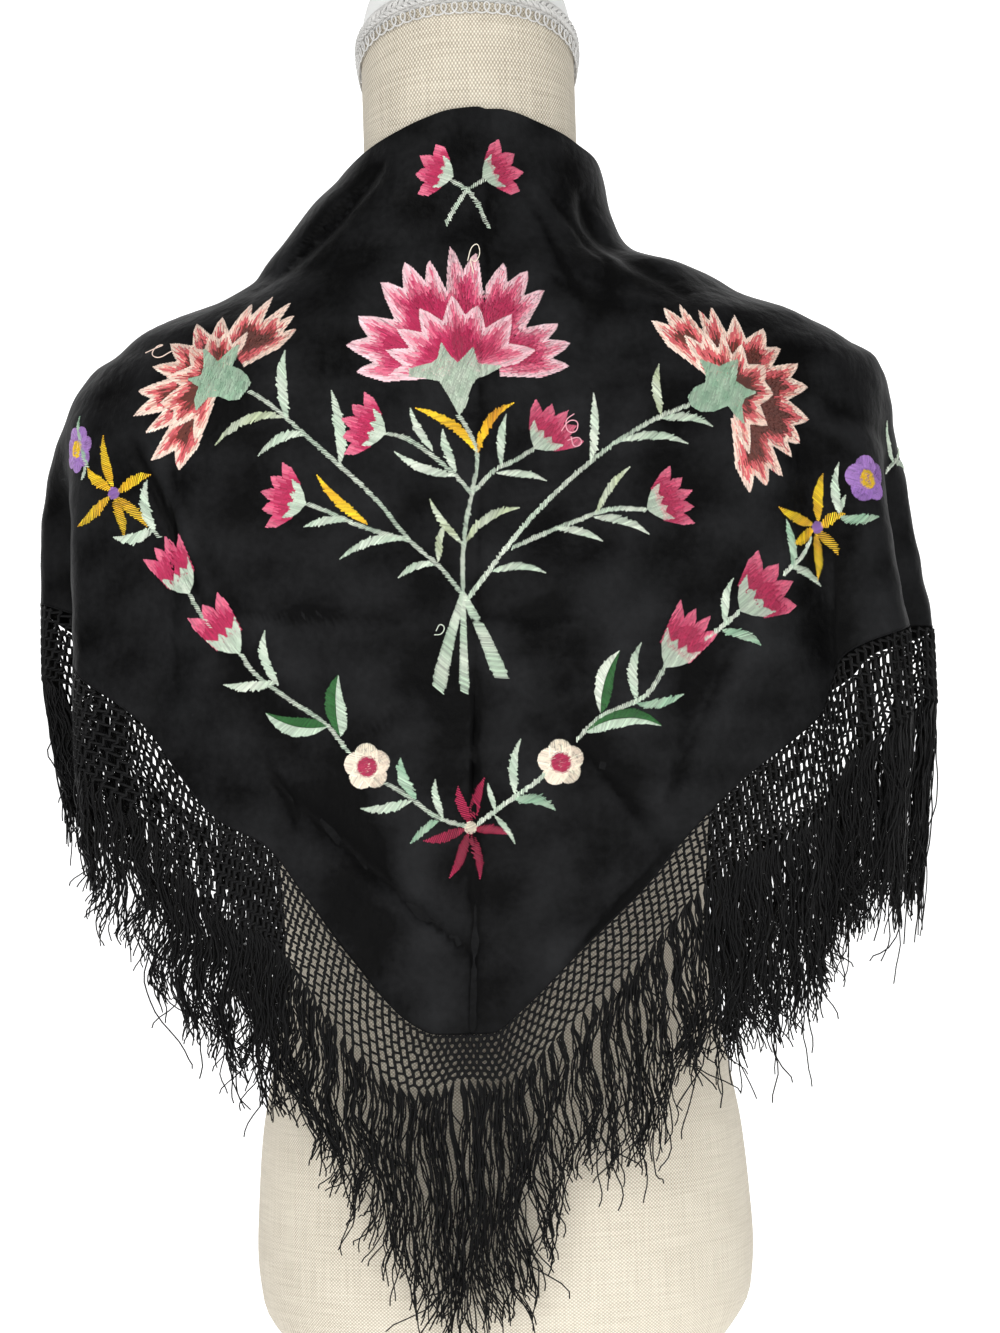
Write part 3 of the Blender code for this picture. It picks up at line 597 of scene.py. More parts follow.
def net_depth(places):
    return read(NET_DEPTHS, places)[0]


# ---------------------------------------------------------------- threads


THREAD_SOCKETS = (
    ("Lines", "INPUT", "Geometry"), ("Sides", "INPUT", "Int"), ("Finish", "INPUT", "Material"),
    ("Threads", "OUTPUT", "Geometry"),
)
THREAD_NODES = {
    "given": "NodeGroupInput", "curves": "GeometryNodeMeshToCurve",
    "circle": "GeometryNodeCurvePrimitiveCircle",
    "radius": "GeometryNodeInputNamedAttribute", "sweep": "GeometryNodeCurveToMesh",
    "shade": "GeometryNodeSetShadeSmooth", "real": "GeometryNodeRealizeInstances",
    "finish": "GeometryNodeSetMaterial", "result": "NodeGroupOutput",
}
THREAD_LINKS = (
    ("given", "Lines", "curves", "Mesh"), ("given", "Sides", "circle", "Resolution"),
    ("curves", "Curve", "sweep", "Curve"), ("circle", "Curve", "sweep", "Profile Curve"),
    ("radius", "Attribute", "sweep", "Scale"), ("sweep", "Mesh", "shade", "Geometry"),
    ("shade", "Geometry", "real", "Geometry"), ("real", "Geometry", "finish", "Geometry"),
    ("given", "Finish", "finish", "Material"), ("finish", "Geometry", "result", "Threads"),
)


def thread_tree():
    """A node tree that turns lines of edges into round threads: each point's radius comes from the mesh's
    own radius attribute, and its tint goes along with it."""
    tree = bpy.data.node_groups.new("threads from lines", "GeometryNodeTree")
    for name, way, kind in THREAD_SOCKETS:
        tree.interface.new_socket(name, in_out=way, socket_type="NodeSocket" + kind)
    nodes = {name: tree.nodes.new(kind) for name, kind in THREAD_NODES.items()}
    nodes["radius"].data_type = "FLOAT"
    nodes["radius"].inputs["Name"].default_value = "radius"
    nodes["circle"].inputs["Radius"].default_value = 1
    nodes["sweep"].inputs["Fill Caps"].default_value = True
    for source, output, target, socket in THREAD_LINKS:
        tree.links.new(nodes[source].outputs[output], nodes[target].inputs[socket])
    return tree


def link_object(name, mesh):
    made = bpy.data.objects.new(name, mesh)
    bpy.context.scene.collection.objects.link(made)
    return made


def lines_mesh(name, lines, radii, tints, closed):
    """A mesh of bare edges: lines is an array of lines of points, all of the same count."""
    count, length = lines.shape[:2]
    mesh = bpy.data.meshes.new(name)
    mesh.vertices.add(count * length)
    mesh.vertices.foreach_set("co", (lines * MM).astype(np.float32).ravel())
    number = np.arange(count * length).reshape(count, length)
    edges = np.stack([number[:, :-1], number[:, 1:]], axis=-1).reshape(-1, 2)
    if closed:
        edges = np.concatenate([edges, np.stack([number[:, -1], number[:, 0]], axis=-1)])
    mesh.edges.add(len(edges))
    mesh.edges.foreach_set("vertices", edges.astype(np.int32).ravel())
    radius = mesh.attributes.new("radius", "FLOAT", "POINT")
    widths = np.broadcast_to(radii, (count, length)) * MM
    radius.data.foreach_set("value", widths.astype(np.float32).ravel())
    if tints is not None:
        colours = np.ones((count, length, 4), np.float32)
        colours[..., :3] = tints if np.ndim(tints) == 3 else np.asarray(tints)[:, None, :]
        tint = mesh.attributes.new("tint", "FLOAT_COLOR", "POINT")
        tint.data.foreach_set("color", colours.ravel())
    mesh.update()
    return mesh


def make_threads(name, lines, radii, finish, place, sides=3, tints=None, closed=False):
    """One piece of round threads along lines of points. place is its slot and the nodes that it replaces."""
    lines = lines_mesh(name + "_lines", np.asarray(lines, float), radii, tints, closed)
    rough = link_object(name + "_lines", lines)
    changer = rough.modifiers.new("threads", "NODES")
    changer.node_group = TREE
    sockets = {item.name: item.identifier for item in TREE.interface.items_tree}
    changer[sockets["Sides"]] = sides
    changer[sockets["Finish"]] = finish
    seen = rough.evaluated_get(bpy.context.evaluated_depsgraph_get())
    mesh = bpy.data.meshes.new_from_object(seen)
    mesh.name = name
    bpy.data.objects.remove(rough)
    made = link_object(name, mesh)
    dress(made, *place)
    return made


def make_mesh(name, points, faces, finish, uv=None):
    """One closed piece of faces, pointing out."""
    mesh = bpy.data.meshes.new(name)
    mesh.from_pydata((np.asarray(points) * MM).tolist(), [], [tuple(map(int, face)) for face in faces])
    shape = bmesh.new()
    shape.from_mesh(mesh)
    bmesh.ops.recalc_face_normals(shape, faces=shape.faces)
    if shape.calc_volume(signed=True) < 0:
        bmesh.ops.reverse_faces(shape, faces=shape.faces)
    shape.to_mesh(mesh)
    shape.free()
    mesh.materials.append(finish)
    mesh.shade_smooth()
    mesh.set_sharp_from_angle(angle=math.radians(60))
    if uv is not None:
        layer = mesh.uv_layers.new(name="UVMap")
        corners = np.zeros(len(mesh.loops), np.int32)
        mesh.loops.foreach_get("vertex_index", corners)
        layer.uv.foreach_set("vector", np.asarray(uv, np.float32)[corners].ravel())
    return link_object(name, mesh)


# ---------------------------------------------------------------- finishes


class Value:
    """A number that varies over a surface: Python's operators on it add Math nodes to its material."""

    def __init__(self, look, socket):
        self.look = look
        self.socket = socket

    def math(self, operation, *others):
        return Value(self.look, self.look.node("ShaderNodeMath", {"operation": operation}, (self, *others)))

    def __rsub__(self, other):
        return (self * -1).math("ADD", other)

    def sine(self):
        return self.math("SINE")

    def size(self):
        return self.math("ABSOLUTE")


OPERATIONS = {
    "add": "ADD", "radd": "ADD", "mul": "MULTIPLY", "rmul": "MULTIPLY", "sub": "SUBTRACT", "pow": "POWER",
}
for method, operation in OPERATIONS.items():
    setattr(Value, f"__{method}__", lambda self, other, name=operation: self.math(name, other))


class Look:
    """A material under its own name, with the one method that makes any node of it."""

    def __init__(self, name, **constants):
        self.material = bpy.data.materials.new(name)
        self.material.use_nodes = True
        self.tree = self.material.node_tree
        self.shader = self.tree.nodes["Principled BSDF"]
        for socket, value in constants.items():
            self.shader.inputs[socket.replace("_", " ")].default_value = value

    def node(self, kind, settings=None, values=(), output=0):
        """The output socket of a new node. Settings come first, then values by number or by socket name."""
        made = self.tree.nodes.new(kind)
        for setting, value in (settings or {}).items():
            if setting == "stops":
                self.set_stops(made.color_ramp, value)
            else:
                setattr(made, setting, value)
        pairs = values.items() if isinstance(values, dict) else enumerate(values)
        for socket, value in pairs:
            self.feed(made.inputs[socket], value)
        return made.outputs[output]

    @staticmethod
    def set_stops(ramp_of, stops):
        while len(ramp_of.elements) < len(stops):
            ramp_of.elements.new(0.5)
        for element, (position, colour) in zip(ramp_of.elements, stops):
            element.position = position
            element.color = (*colour, 1)

    def feed(self, socket, value):
        if isinstance(value, Value):
            value = value.socket
        if isinstance(value, bpy.types.NodeSocket):
            self.tree.links.new(value, socket)
        else:
            socket.default_value = value

    def value(self, *given, **named):
        return Value(self, self.node(*given, **named))

    def object_point(self):
        return self.node("ShaderNodeTexCoord", output="Object")

    def uv(self):
        """The two numbers of the piece's UV map."""
        point = self.node("ShaderNodeUVMap", {"uv_map": "UVMap"})
        parts = self.tree.nodes.new("ShaderNodeSeparateXYZ")
        self.feed(parts.inputs[0], point)
        return Value(self, parts.outputs[0]), Value(self, parts.outputs[1])

    def noise(self, point, scale, detail=2.0, roughness=0.5):
        values = {"Vector": point, "Scale": scale, "Detail": detail, "Roughness": roughness}
        return self.value("ShaderNodeTexNoise", {}, values)

    def point(self, x, y, z=0.0):
        return self.node("ShaderNodeCombineXYZ", {}, (x, y, z))

    def stretched(self, point, scale):
        """A point whose ways are scaled each on its own, for marks that are longer one way."""
        return self.node("ShaderNodeVectorMath", {"operation": "MULTIPLY"}, (point, scale))

    def mix(self, factor, first, second):
        values = {0: factor, 6: first, 7: second}
        return self.node("ShaderNodeMix", {"data_type": "RGBA"}, values, output=2)

    def bump(self, height, strength, distance):
        values = {"Strength": strength, "Distance": distance, "Height": height}
        self.feed(self.shader.inputs["Normal"], self.node("ShaderNodeBump", {}, values))

    def colour(self, value):
        self.feed(self.shader.inputs["Base Color"], value)

    def roughness(self, value):
        self.feed(self.shader.inputs["Roughness"], value)


def linear(colour):
    """An sRGB colour as the linear numbers that shaders use."""
    colour = np.asarray(colour, float)
    return np.where(colour <= 0.04045, colour / 12.92, ((colour + 0.055) / 1.055) ** 2.4)


def paint(colour):
    return (*linear(colour), 1.0)


LINEN_PITCH = 0.00095  # metres from thread to thread of the linen


def linen_look():
    """Natural plain-weave linen: over and under threads, with a few thick and thin ones. The UV map is in
    metres: round the form from the middle of the back, and up it."""
    look = Look("natural linen", Specular_IOR_Level=0.2, Sheen_Weight=0.05, Sheen_Roughness=0.5)
    around, up = look.uv()
    wander = look.noise(look.object_point(), 30, 2) * 0.0014
    turns = math.pi / LINEN_PITCH
    warp, weft = ((around + wander) * turns).sine(), ((up + wander) * turns).sine()
    over = warp * weft
    threads = (warp.size() ** 0.5) * (weft.size() ** 0.5)
    slub_up = look.noise(look.point(around * 700, up * 30), 1, 2)
    slub_round = look.noise(look.point(around * 30, up * 700), 1, 2)
    slubs = slub_up * 0.45 + slub_round * 0.55
    cloudy = look.noise(look.object_point(), 7, 3)
    # The tone falls towards the top of the form: painted shade that keeps the neck darker.
    tone = over * 0.38 + threads * 0.30 + slubs * 0.55 + cloudy * 0.3 - 0.05 - up * 0.24
    stops = (
        (0.0, linear((0.47, 0.435, 0.375))),
        (0.35, linear((0.725, 0.69, 0.625))),
        (0.65, linear((0.85, 0.82, 0.755))),
        (1.0, linear((0.915, 0.89, 0.84))),
    )
    look.colour(look.node("ShaderNodeValToRGB", {"stops": stops}, (tone,)))
    look.roughness(slubs * 0.12 + 0.8)
    look.bump(threads * 0.6 + over * 0.5 + slubs * 0.5, 0.5, 0.0003)
    return look.material


def cap_look():
    """Pale smooth cotton, with painted shade that greys it a little in its hollows."""
    look = Look("pale cap cloth", Specular_IOR_Level=0.25, Sheen_Weight=0.1)
    point = look.object_point()
    soft = look.noise(point, 26, 3)
    grain = look.noise(point, 1500, 2)
    # painted shade: the colour follows the bump's soft noise, greyer where the cloth sinks
    look.colour(look.mix(soft, paint((0.78, 0.785, 0.78)), paint((0.88, 0.88, 0.87))))
    look.roughness(grain * 0.15 + 0.66)
    look.bump(soft * 1.5 + grain * 0.12, 0.35, 0.0012)
    return look.material


def cord_look(name, dark, light, roughness, scales, offset, **constants):
    """Wound or twisted cord: fine windings run round each thread with painted shade and highlight; larger
    patches are lighter.
    """
    look = Look(name, **constants)
    point = look.object_point()
    winding, cloudy = (look.noise(point, scale, 2) for scale in scales)
    # painted shade in the windings' grooves and painted highlight on their tops, as the colour follows their
    # bump; the cloudy patches are tone that differs at random
    look.colour(look.mix(winding * 0.6 + cloudy * 0.5 + offset, paint(dark), paint(light)))
    look.roughness(winding * 0.2 + roughness)
    look.bump(winding, 0.4, 0.0003)
    return look.material


def gimp_look():
    """Shiny pale gimp."""
    sheen = {"Specular_IOR_Level": 0.45, "Sheen_Weight": 0.1}
    # the gimp's dark colour is the painted shade of its windings, and its light colour their painted
    # highlight
    return cord_look("gimp cord", (0.48, 0.475, 0.47), (0.93, 0.925, 0.91), 0.5, (1400, 60), -0.05, **sheen)


def black_cord_look(name, dark, light, roughness):
    """Twisted black silk cord."""
    sheen = {"IOR": 1.35, "Specular_IOR_Level": 0.3, "Sheen_Weight": 0.01}
    return cord_look(name, dark, light, roughness, (1300, 40), 0.0, **sheen)


def silk_look():
    """Black silk crepe: a pebbled grain with a soft sheen, and painted sheen and painted shade in its colour.
    """
    shine = {"IOR": 1.25, "Specular_IOR_Level": 0.14, "Sheen_Weight": 0.002, "Sheen_Roughness": 0.4}
    look = Look("black silk crepe", **shine)
    look.shader.inputs["Sheen Tint"].default_value = paint((0.62, 0.64, 0.75))
    point = look.object_point()
    grain = look.noise(point, 900, 3, 0.6)
    pebble = look.noise(point, 260, 3, 0.55)
    soft = look.noise(point, 13, 4, 0.55)
    streaks = look.noise(look.stretched(point, (1.0, 1.0, 0.28)), 26, 3)
    pucker = look.noise(point, 70, 2)
    # ridge is how far the silk stands out in its creases: it paints shade into their troughs and highlight
    # onto their ridges.
    ridge = look.value("ShaderNodeAttribute", {"attribute_name": "ridge"}, output=2)
    wrinkles = look.noise(look.stretched(point, (1.0, 1.0, 0.4)), 55, 3)
    # The colour holds painted sheen in soft patches and streaks, plus the painted shade and highlight of the
    # ridges.
    sheen = (soft * 0.5 + streaks * 0.6 + pebble * 0.3 - 0.53) * 1.5 + ridge * 0.24
    look.colour(look.mix(sheen, paint((0.018, 0.018, 0.019)), paint((0.145, 0.147, 0.152))))
    look.roughness(soft * 0.3 + grain * 0.1 + 0.27)
    look.bump(grain * 0.25 + pebble * 0.5 + soft * 2.4 + pucker * 2.4 + wrinkles * 2.6, 0.6, 0.0009)
    return look.material


def thread_look(name, roughness):
    """Silk thread in its own tint, with painted sheen that makes it brighter and darker strand by strand."""
    look = Look(name, Specular_IOR_Level=0.4, Sheen_Weight=0.1, Sheen_Roughness=0.35)
    tint = look.node("ShaderNodeAttribute", {"attribute_name": "tint"})
    point = look.object_point()
    # painted sheen: the strand noise scales the tint and also drives the bump, darker where the bump is low
    strand = look.noise(point, 1800, 2)
    shade = look.node(
        "ShaderNodeMix",
        {"data_type": "RGBA", "blend_type": "MULTIPLY"},
        {0: 1.0, 6: tint, 7: look.mix(strand, (0.80, 0.80, 0.80, 1), (1.08, 1.08, 1.08, 1))},
        output=2,
    )
    look.colour(shade)
    look.roughness(strand * 0.16 + roughness)
    look.bump(strand, 0.35, 0.0002)
    return look.material


def stage_look():
    """Matt white paper, lit a little from within so that it stays even. From behind it is see-through."""
    look = Look("stage paper", Roughness=0.95, Specular_IOR_Level=0.0, Emission_Strength=0.85)
    look.shader.inputs["Emission Color"].default_value = (1, 1, 1, 1)
    look.shader.inputs["Base Color"].default_value = (0.6, 0.6, 0.6, 1)
    behind = look.node("ShaderNodeNewGeometry", output="Backfacing")
    clear = look.node("ShaderNodeBsdfTransparent")
    seen = look.node("ShaderNodeMixShader", {}, {0: behind, 1: look.shader.outputs[0], 2: clear})
    look.feed(look.tree.nodes["Material Output"].inputs["Surface"], seen)
    return look.material


# ---------------------------------------------------------------- the dress form


def tube_faces(count, sides):
    """Quads and end fans of a stack of rings. The two middle points come after the rings' points."""
    number = np.arange(count * sides).reshape(count, sides)
    first, last = count * sides, count * sides + 1
    faces = []
    for side in range(sides):
        after = (side + 1) % sides
        for low, high in zip(number, number[1:]):
            faces.append((low[side], low[after], high[after], high[side]))
        faces.append((first, number[0, after], number[0, side]))
        faces.append((last, number[-1, side], number[-1, after]))
    return faces


def ring_stack(name, rings, finish, top=None):
    """A closed piece through a stack of rings that start in front, with a UV map in metres: round it from
    the middle of the back, and up its side."""
    rings = np.asarray(rings, float)
    count, sides = rings.shape[:2]
    top = rings[-1].mean(axis=0) if top is None else np.asarray(top, float)
    ends = np.stack([rings[0].mean(axis=0), top])
    points = np.concatenate([rings.reshape(-1, 3), ends])
    rise = np.linalg.norm(np.diff(rings, axis=0), axis=-1).mean(axis=1)
    up = np.concatenate([[0], np.cumsum(rise)]) * MM
    girth = np.linalg.norm(rings - np.roll(rings, 1, axis=1), axis=-1).sum(axis=1) * MM
    around = girth[:, None] * (np.arange(sides) / sides - 0.5)[None]
    uv = np.stack([around.ravel(), np.repeat(up, sides)], axis=1)
    uv = np.concatenate([uv, [[0, up[0]], [0, up[-1]]]])
    made = make_mesh(name, points, tube_faces(count, sides), finish, uv)
    mend_seam(made.data)
    return made


def mend_seam(mesh):
    """Faces over the seam of the UV map run on past its end instead of back over it."""
    layer = mesh.uv_layers["UVMap"].uv
    for face in mesh.polygons:
        corners = [layer[loop].vector for loop in face.loop_indices]
        reach = max(corner.x for corner in corners) - min(corner.x for corner in corners)
        if reach > SEAM_REACH and len(corners) == 4:
            for corner in corners:
                corner.x = abs(corner.x)


def make_form_body():
    heights = np.unique(np.concatenate([[0, 3, 8, 15], np.arange(24, NECK_JOIN, 6), [NECK_JOIN]]))
    turns = np.arange(FORM_SIDES) * 360 / FORM_SIDES + 180
    rings = []
    for height in heights:
        x, y = section_point(turns, *read(FORM_SECTIONS, height))
        tip = ramp(height, NECK_TILT_FROM, NECK_JOIN) * math.tan(NECK_TILT)
        rings.append(np.stack([x, y, height - y * tip], axis=-1))
    dress(ring_stack("linen_cover", rings, linen_look()), "linen", "form_body")


def make_cap():
    turns = np.arange(CAP_SIDES) * 360 / CAP_SIDES + 180
    rings = []
    for step in range(CAP_RINGS):
        rise = CAP_HEIGHT * math.sin(step / CAP_RINGS * math.pi / 2)
        narrowed = (1 - (rise / CAP_HEIGHT) ** CAP_POWER) ** (1 / CAP_POWER)
        ring = neck_points(turns, 0, SEAM_GAP + rise)
        ring[:, :2] *= narrowed
        ring[:, 2] += (ring[:, 1] / narrowed - ring[:, 1]) * math.tan(NECK_TILT)
        rings.append(ring)
    cap = ring_stack("cap_cover", rings, cap_look(), top=(0, 0, NECK_JOIN + SEAM_GAP + CAP_HEIGHT))
    dress(cap, "cap_cloth", "neck_cap")


def make_braid():
    """A plaited row above a row of little loops, on a narrow tape round the cap's seam."""
    gimp = gimp_look()
    turns = np.arange(TAPE_SIDES) * 360 / TAPE_SIDES
    rows = np.stack([neck_points(turns, out, height) for out, height in TAPE_SECTION], axis=1)
    number = np.arange(rows[..., 0].size).reshape(TAPE_SIDES, len(TAPE_SECTION))
    following, after = np.roll(number, -1, axis=0), np.roll(number, -1, axis=1)
    faces = np.stack([number, after, np.roll(following, -1, axis=1), following], axis=-1).reshape(-1, 4)
    dress(make_mesh("braid_tape", rows.reshape(-1, 3), faces, gimp), *BRAID)
    around = np.linspace(0, 1, PLAIT_WAVES * 12, endpoint=False)
    cords = []
    for strand in range(3):
        for beside in (-1, 0, 1):
            phase = math.tau * (around * PLAIT_WAVES + strand / 3)
            height = PLAIT_CENTRE + PLAIT_REACH * np.sin(phase) + beside * PLAIT_SPREAD * np.cos(phase)
            out = PLAIT_OUT + PLAIT_WEAVE * np.sin(2 * phase)
            cords.append(neck_points(around * 360 + beside * PLAIT_SLIDE, out, height))
    make_threads("braid_plait", cords, PLAIT_CORD, gimp, BRAID, 4, closed=True)
    around = np.linspace(0, 1, LOOP_COUNT * 14, endpoint=False)
    phase = math.tau * around * LOOP_COUNT
    turns = around * 360 - LOOP_SLIDE * np.sin(phase)
    out, height = LOOP_OUT + LOOP_WEAVE * np.cos(phase), LOOP_CENTRE + LOOP_REACH * np.cos(phase)
    loops = neck_points(turns, out, height)
    make_threads("braid_loops", loops[None], LOOP_CORD, gimp, BRAID, 6, closed=True)
    piping = neck_points(np.arange(CAP_SIDES) * 360 / CAP_SIDES, PIPING_OUT, PIPING_HEIGHT)
    make_threads("cap_piping", piping[None], PIPING_RADIUS, gimp, BRAID, 8, closed=True)


# ---------------------------------------------------------------- the silk


def silk_grid(silk):
    """The outer and inner points of the silk's wall, in columns from the folded edge to the hem, and how far
    each outer one stands up in the fine creases."""
    even = np.linspace(-TAIL_END, TAIL_END, SILK_COLUMNS)
    beside = even - CREASE_PLACE
    crowding, spread = CREASE_CROWDING
    places = even - crowding * beside * np.exp(-((beside / spread) ** 2))
    shares = np.linspace(0, 1, SILK_ROWS) ** 1.1
    outer, ridges = [], []
    for place in places:
        turns, heights = cloth_line(place, shares)
        outer.append(silk.at(turns, heights))
        ridges.append(silk.relief_at(turns, heights))
    outer = np.array(outer)
    normal = unit(np.cross(np.gradient(outer, axis=1), np.gradient(outer, axis=0)))
    return outer, outer - SILK_WALL * normal, np.array(ridges)


def grid_faces(number):
    """Quads of a grid of points' numbers."""
    corners = (number[:-1, :-1], number[:-1, 1:], number[1:, 1:], number[1:, :-1])
    return np.stack(corners, axis=-1).reshape(-1, 4).tolist()


def make_silk(silk, finish):
    """The draped silk as a closed wall. Its inner face has fewer points, as nothing shows there."""
    outer, inner, ridges = silk_grid(silk)
    columns, rows = outer.shape[:2]
    inner = inner[::INNER_STEP, ::INNER_STEP]
    inner_columns, inner_rows = inner.shape[:2]
    number = np.arange(columns * rows).reshape(columns, rows)
    under = np.arange(inner_columns * inner_rows).reshape(inner_columns, inner_rows) + columns * rows
    faces = grid_faces(number) + [(a, d, c, b) for a, b, c, d in grid_faces(under)]
    rims = (
        (number[:, 0], under[:, 0]),
        (number[::-1, -1], under[::-1, -1]),
        (number[-1, :], under[-1, :]),
        (number[0, ::-1], under[0, ::-1]),
    )
    for edge, inner_edge in rims:
        for step in range(len(inner_edge) - 1):
            first = step * INNER_STEP
            for point in range(first, first + INNER_STEP):
                faces.append((edge[point], edge[point + 1], inner_edge[step]))
            faces.append((edge[first + INNER_STEP], inner_edge[step + 1], inner_edge[step]))
    points = np.concatenate([outer.reshape(-1, 3), inner.reshape(-1, 3)])
    cloth = make_mesh("silk_cloth", points, faces, finish)
    # The ridge heights go to the silk's colour as painted shade in the troughs and painted highlight on the
    # ridges.
    ridge = cloth.data.attributes.new("ridge", "FLOAT", "POINT")
    heights = np.concatenate([ridges.ravel(), np.zeros(inner_columns * inner_rows)])
    ridge.data.foreach_set("value", heights.astype(np.float32))
    dress(cloth, "black_silk", "shawl_cloth")
    return cloth


def make_hem(silk, finish):
    """The rolled hem."""
    rows = read(CLOTH_LINES, np.linspace(-TAIL_END, TAIL_END, HEM_POINTS))
    hem = silk.at(rows[4], rows[5], -HEM_SINK)
    return make_threads("rolled_hem", hem[None], HEM_RADIUS, finish, ("black_silk",), 6)


# ---------------------------------------------------------------- embroidery


class Stitching:
    """Stitches of one part of the work: each runs between two places of the cloth, across and height."""

    def __init__(self, seed):
        self.random = np.random.default_rng(seed)
        self.rows = []

    def add(self, starts, ends, tints, lift, puff, radius=STITCH_RADIUS, mottle=0.13):
        """Stitches that stand off the silk by lift, and in their middles by puff more. mottle is how uneven
        their tone is."""
        starts, ends = np.reshape(starts, (-1, 2)), np.reshape(ends, (-1, 2))
        count = len(starts)
        uneven = 1 + mottle * self.random.standard_normal((count, 1))
        tints = np.clip(np.broadcast_to(tints, (count, 3)) * uneven, 0, 1)
        lifts = lift + self.random.uniform(-LIFT_JITTER, LIFT_JITTER, count)
        self.rows.append((starts, ends, tints, lifts, np.broadcast_to(puff, count), np.full(count, radius)))

    def make(self, name, silk, finish):
        starts, ends, tints, lifts, puffs, radii = (np.concatenate(column) for column in zip(*self.rows))
        shares = np.array(STITCH_SHARES)[None, :, None]
        flat = starts[:, None] * (1 - shares) + ends[:, None] * shares
        rise = lifts[:, None] + puffs[:, None] * np.array(STITCH_RISE)
        points = silk.across_at(flat[..., 0], flat[..., 1], rise)
        return make_threads(name, points, radii[:, None], finish, ("black_silk",), 3, tints)


def way_along(line, count):
    """Points and unit directions at even steps along a smooth curve through a few points."""
    line = np.asarray(line, float)
    lengths = np.concatenate([[0], np.cumsum(np.linalg.norm(np.diff(line, axis=0), axis=1))])
    at = np.linspace(0, lengths[-1], count)
    points = np.stack([smooth(lengths, line[:, 0], at), smooth(lengths, line[:, 1], at)], axis=1)
    return points, unit(np.gradient(points, axis=0)), lengths[-1]


def ribbon(work, line, half_width, tint, slant=0.9, ragged=0.2, sides=(-1, 1), pitch=STEM_PITCH):
    """Short slanting stitches across a line. half_width is a function of the share along it."""
    length = way_along(line, 8)[2]
    count = max(4, int(length / pitch))
    points, ways, _length = way_along(line, count)
    share = np.linspace(0, 1, count)
    left = np.stack([-ways[:, 1], ways[:, 0]], axis=1)
    width = half_width(share)[:, None]
    reach = (left + slant * ways) * width
    uneven = [side * (1 + ragged * work.random.standard_normal((count, 1))) for side in sides]
    starts, ends = (points + reach * factor for factor in uneven)
    tints = tint(share) if callable(tint) else tint
    puff = np.minimum(0.4, 0.2 + width[:, 0] * 0.25)
    work.add(starts, ends, tints, 0.0, puff, STEM_STITCH_RADIUS, STEM_MOTTLE)


def bent(base, tip, bend):
    """A line that bows to the left of the way from base to tip."""
    base, tip = np.asarray(base, float), np.asarray(tip, float)
    way = tip - base
    beside = np.array([-way[1], way[0]])
    share = np.linspace(0, 1, 6)[:, None]
    return base + share * way + 4 * bend * share * (1 - share) * beside


def leaf_width(width):
    return lambda share: 0.46 * width * np.sin(math.pi * np.clip(share, 0, 1) ** 0.85) ** 0.95 + 0.12


def tone(name):
    return linear(THREADS[name])


def blend_tones(first, second, share):
    share = np.clip(np.asarray(share), 0, 1)[..., None]
    return tone(first) * (1 - share) + tone(second) * share


# what each leaf colour changes to in patches
LIGHTER = {
    "sage": "pale sage", "mint": "sage", "olive": "pale sage", "pale sage": "sage", "yellow": "ochre",
    "ochre": "yellow",
}


def sew_leaf(work, base, tip, width, bend, colour):
    def tint(share):
        return blend_tones(colour, LIGHTER[colour], 0.3 + 0.3 * np.sin(share * 9 + base[0]))

    ribbon(work, bent(base, tip, bend), leaf_width(width), tint, 1.2, ragged=0.15, pitch=0.95)


def sew_two_tone(work, base, tip, width, bend, left, right):
    line = bent(base, tip, bend)
    for colour, sides in ((left, (0.04, 1)), (right, (-1, -0.04))):
        ribbon(work, line, leaf_width(width), tone(colour), 0.7, 0.05, sides, 0.6)


def fill(work, outline, direction, tint, lift=0.0, reach=3.4, puff=0.3):
    """Parallel stitches over an outline, in a direction. tint gives a colour for each stitch's middle."""
    way = np.array([math.cos(direction), math.sin(direction)])
    beside = np.array([-way[1], way[0]])
    outline = np.asarray(outline, float)
    u, v = outline @ beside, outline @ way
    next_u, next_v = np.roll(u, -1), np.roll(v, -1)
    starts, ends = [], []
    for line in np.arange(u.min() + STITCH_PITCH / 2, u.max(), STITCH_PITCH):
        crossed = (u <= line) != (next_u <= line)
        rise = (line - u[crossed]) / (next_u - u)[crossed]
        hits = np.sort(v[crossed] + rise * (next_v - v)[crossed])
        for low, high in zip(hits[::2], hits[1::2]):
            if high - low < 0.4:
                continue
            parts = max(1, round((high - low) / reach))
            cuts = np.linspace(low, high, parts + 1)
            cuts[1:-1] += work.random.uniform(-0.4, 0.4, parts - 1) * (high - low) / parts
            cuts[0] -= work.random.uniform(0, 0.35)
            cuts[-1] += work.random.uniform(0, 0.35)
            starts += [beside * line + way * cut for cut in cuts[:-1]]
            ends += [beside * line + way * cut for cut in cuts[1:]]
    if starts:
        starts, ends = np.array(starts), np.array(ends)
        work.add(starts, ends, tint((starts + ends) / 2), lift, puff)


def banded(work, edge, bands):
    """A colour by distance from an edge: bands of name and width, the last going on inwards. Their limits
    are as uneven as long and short stitches make them."""
    names = [name for name, _width in bands]
    limits = np.cumsum([width for _name, width in bands])[:-1]
    tones = np.array([tone(name) for name in names])

    def tint(points):
        away = line_distance(points[:, 0], points[:, 1], edge)[0]
        return tones[np.searchsorted(limits, away + work.random.normal(0, 0.9, len(away)))]

    return tint


def compass(degrees):
    """The direction of a heading: 0 is up, and positive turns to the right."""
    return np.array([math.sin(math.radians(degrees)), math.cos(math.radians(degrees))])


END_MARGIN = 7  # degrees from a tier's outer teeth to its ends
# how deep the gaps between petals, and between the teeth of one, are, as shares of the reach
PETAL_GAP = 0.27
TOOTH_GAP = 0.15
TOOTH_BELLY = 0.55  # where a tooth is roundest, as a share of the way from its gap to its tip
MIDDLE_BANDS = (("pale pink", 2.3), ("shell", 1.4), ("mid pink", 2.6), ("rose", 2.4), ("magenta", 9))
SIDE_BANDS = (("cream", 2.3), ("peach", 0.8), ("coral", 2.5), ("brick", 0.9), ("brown", 9))

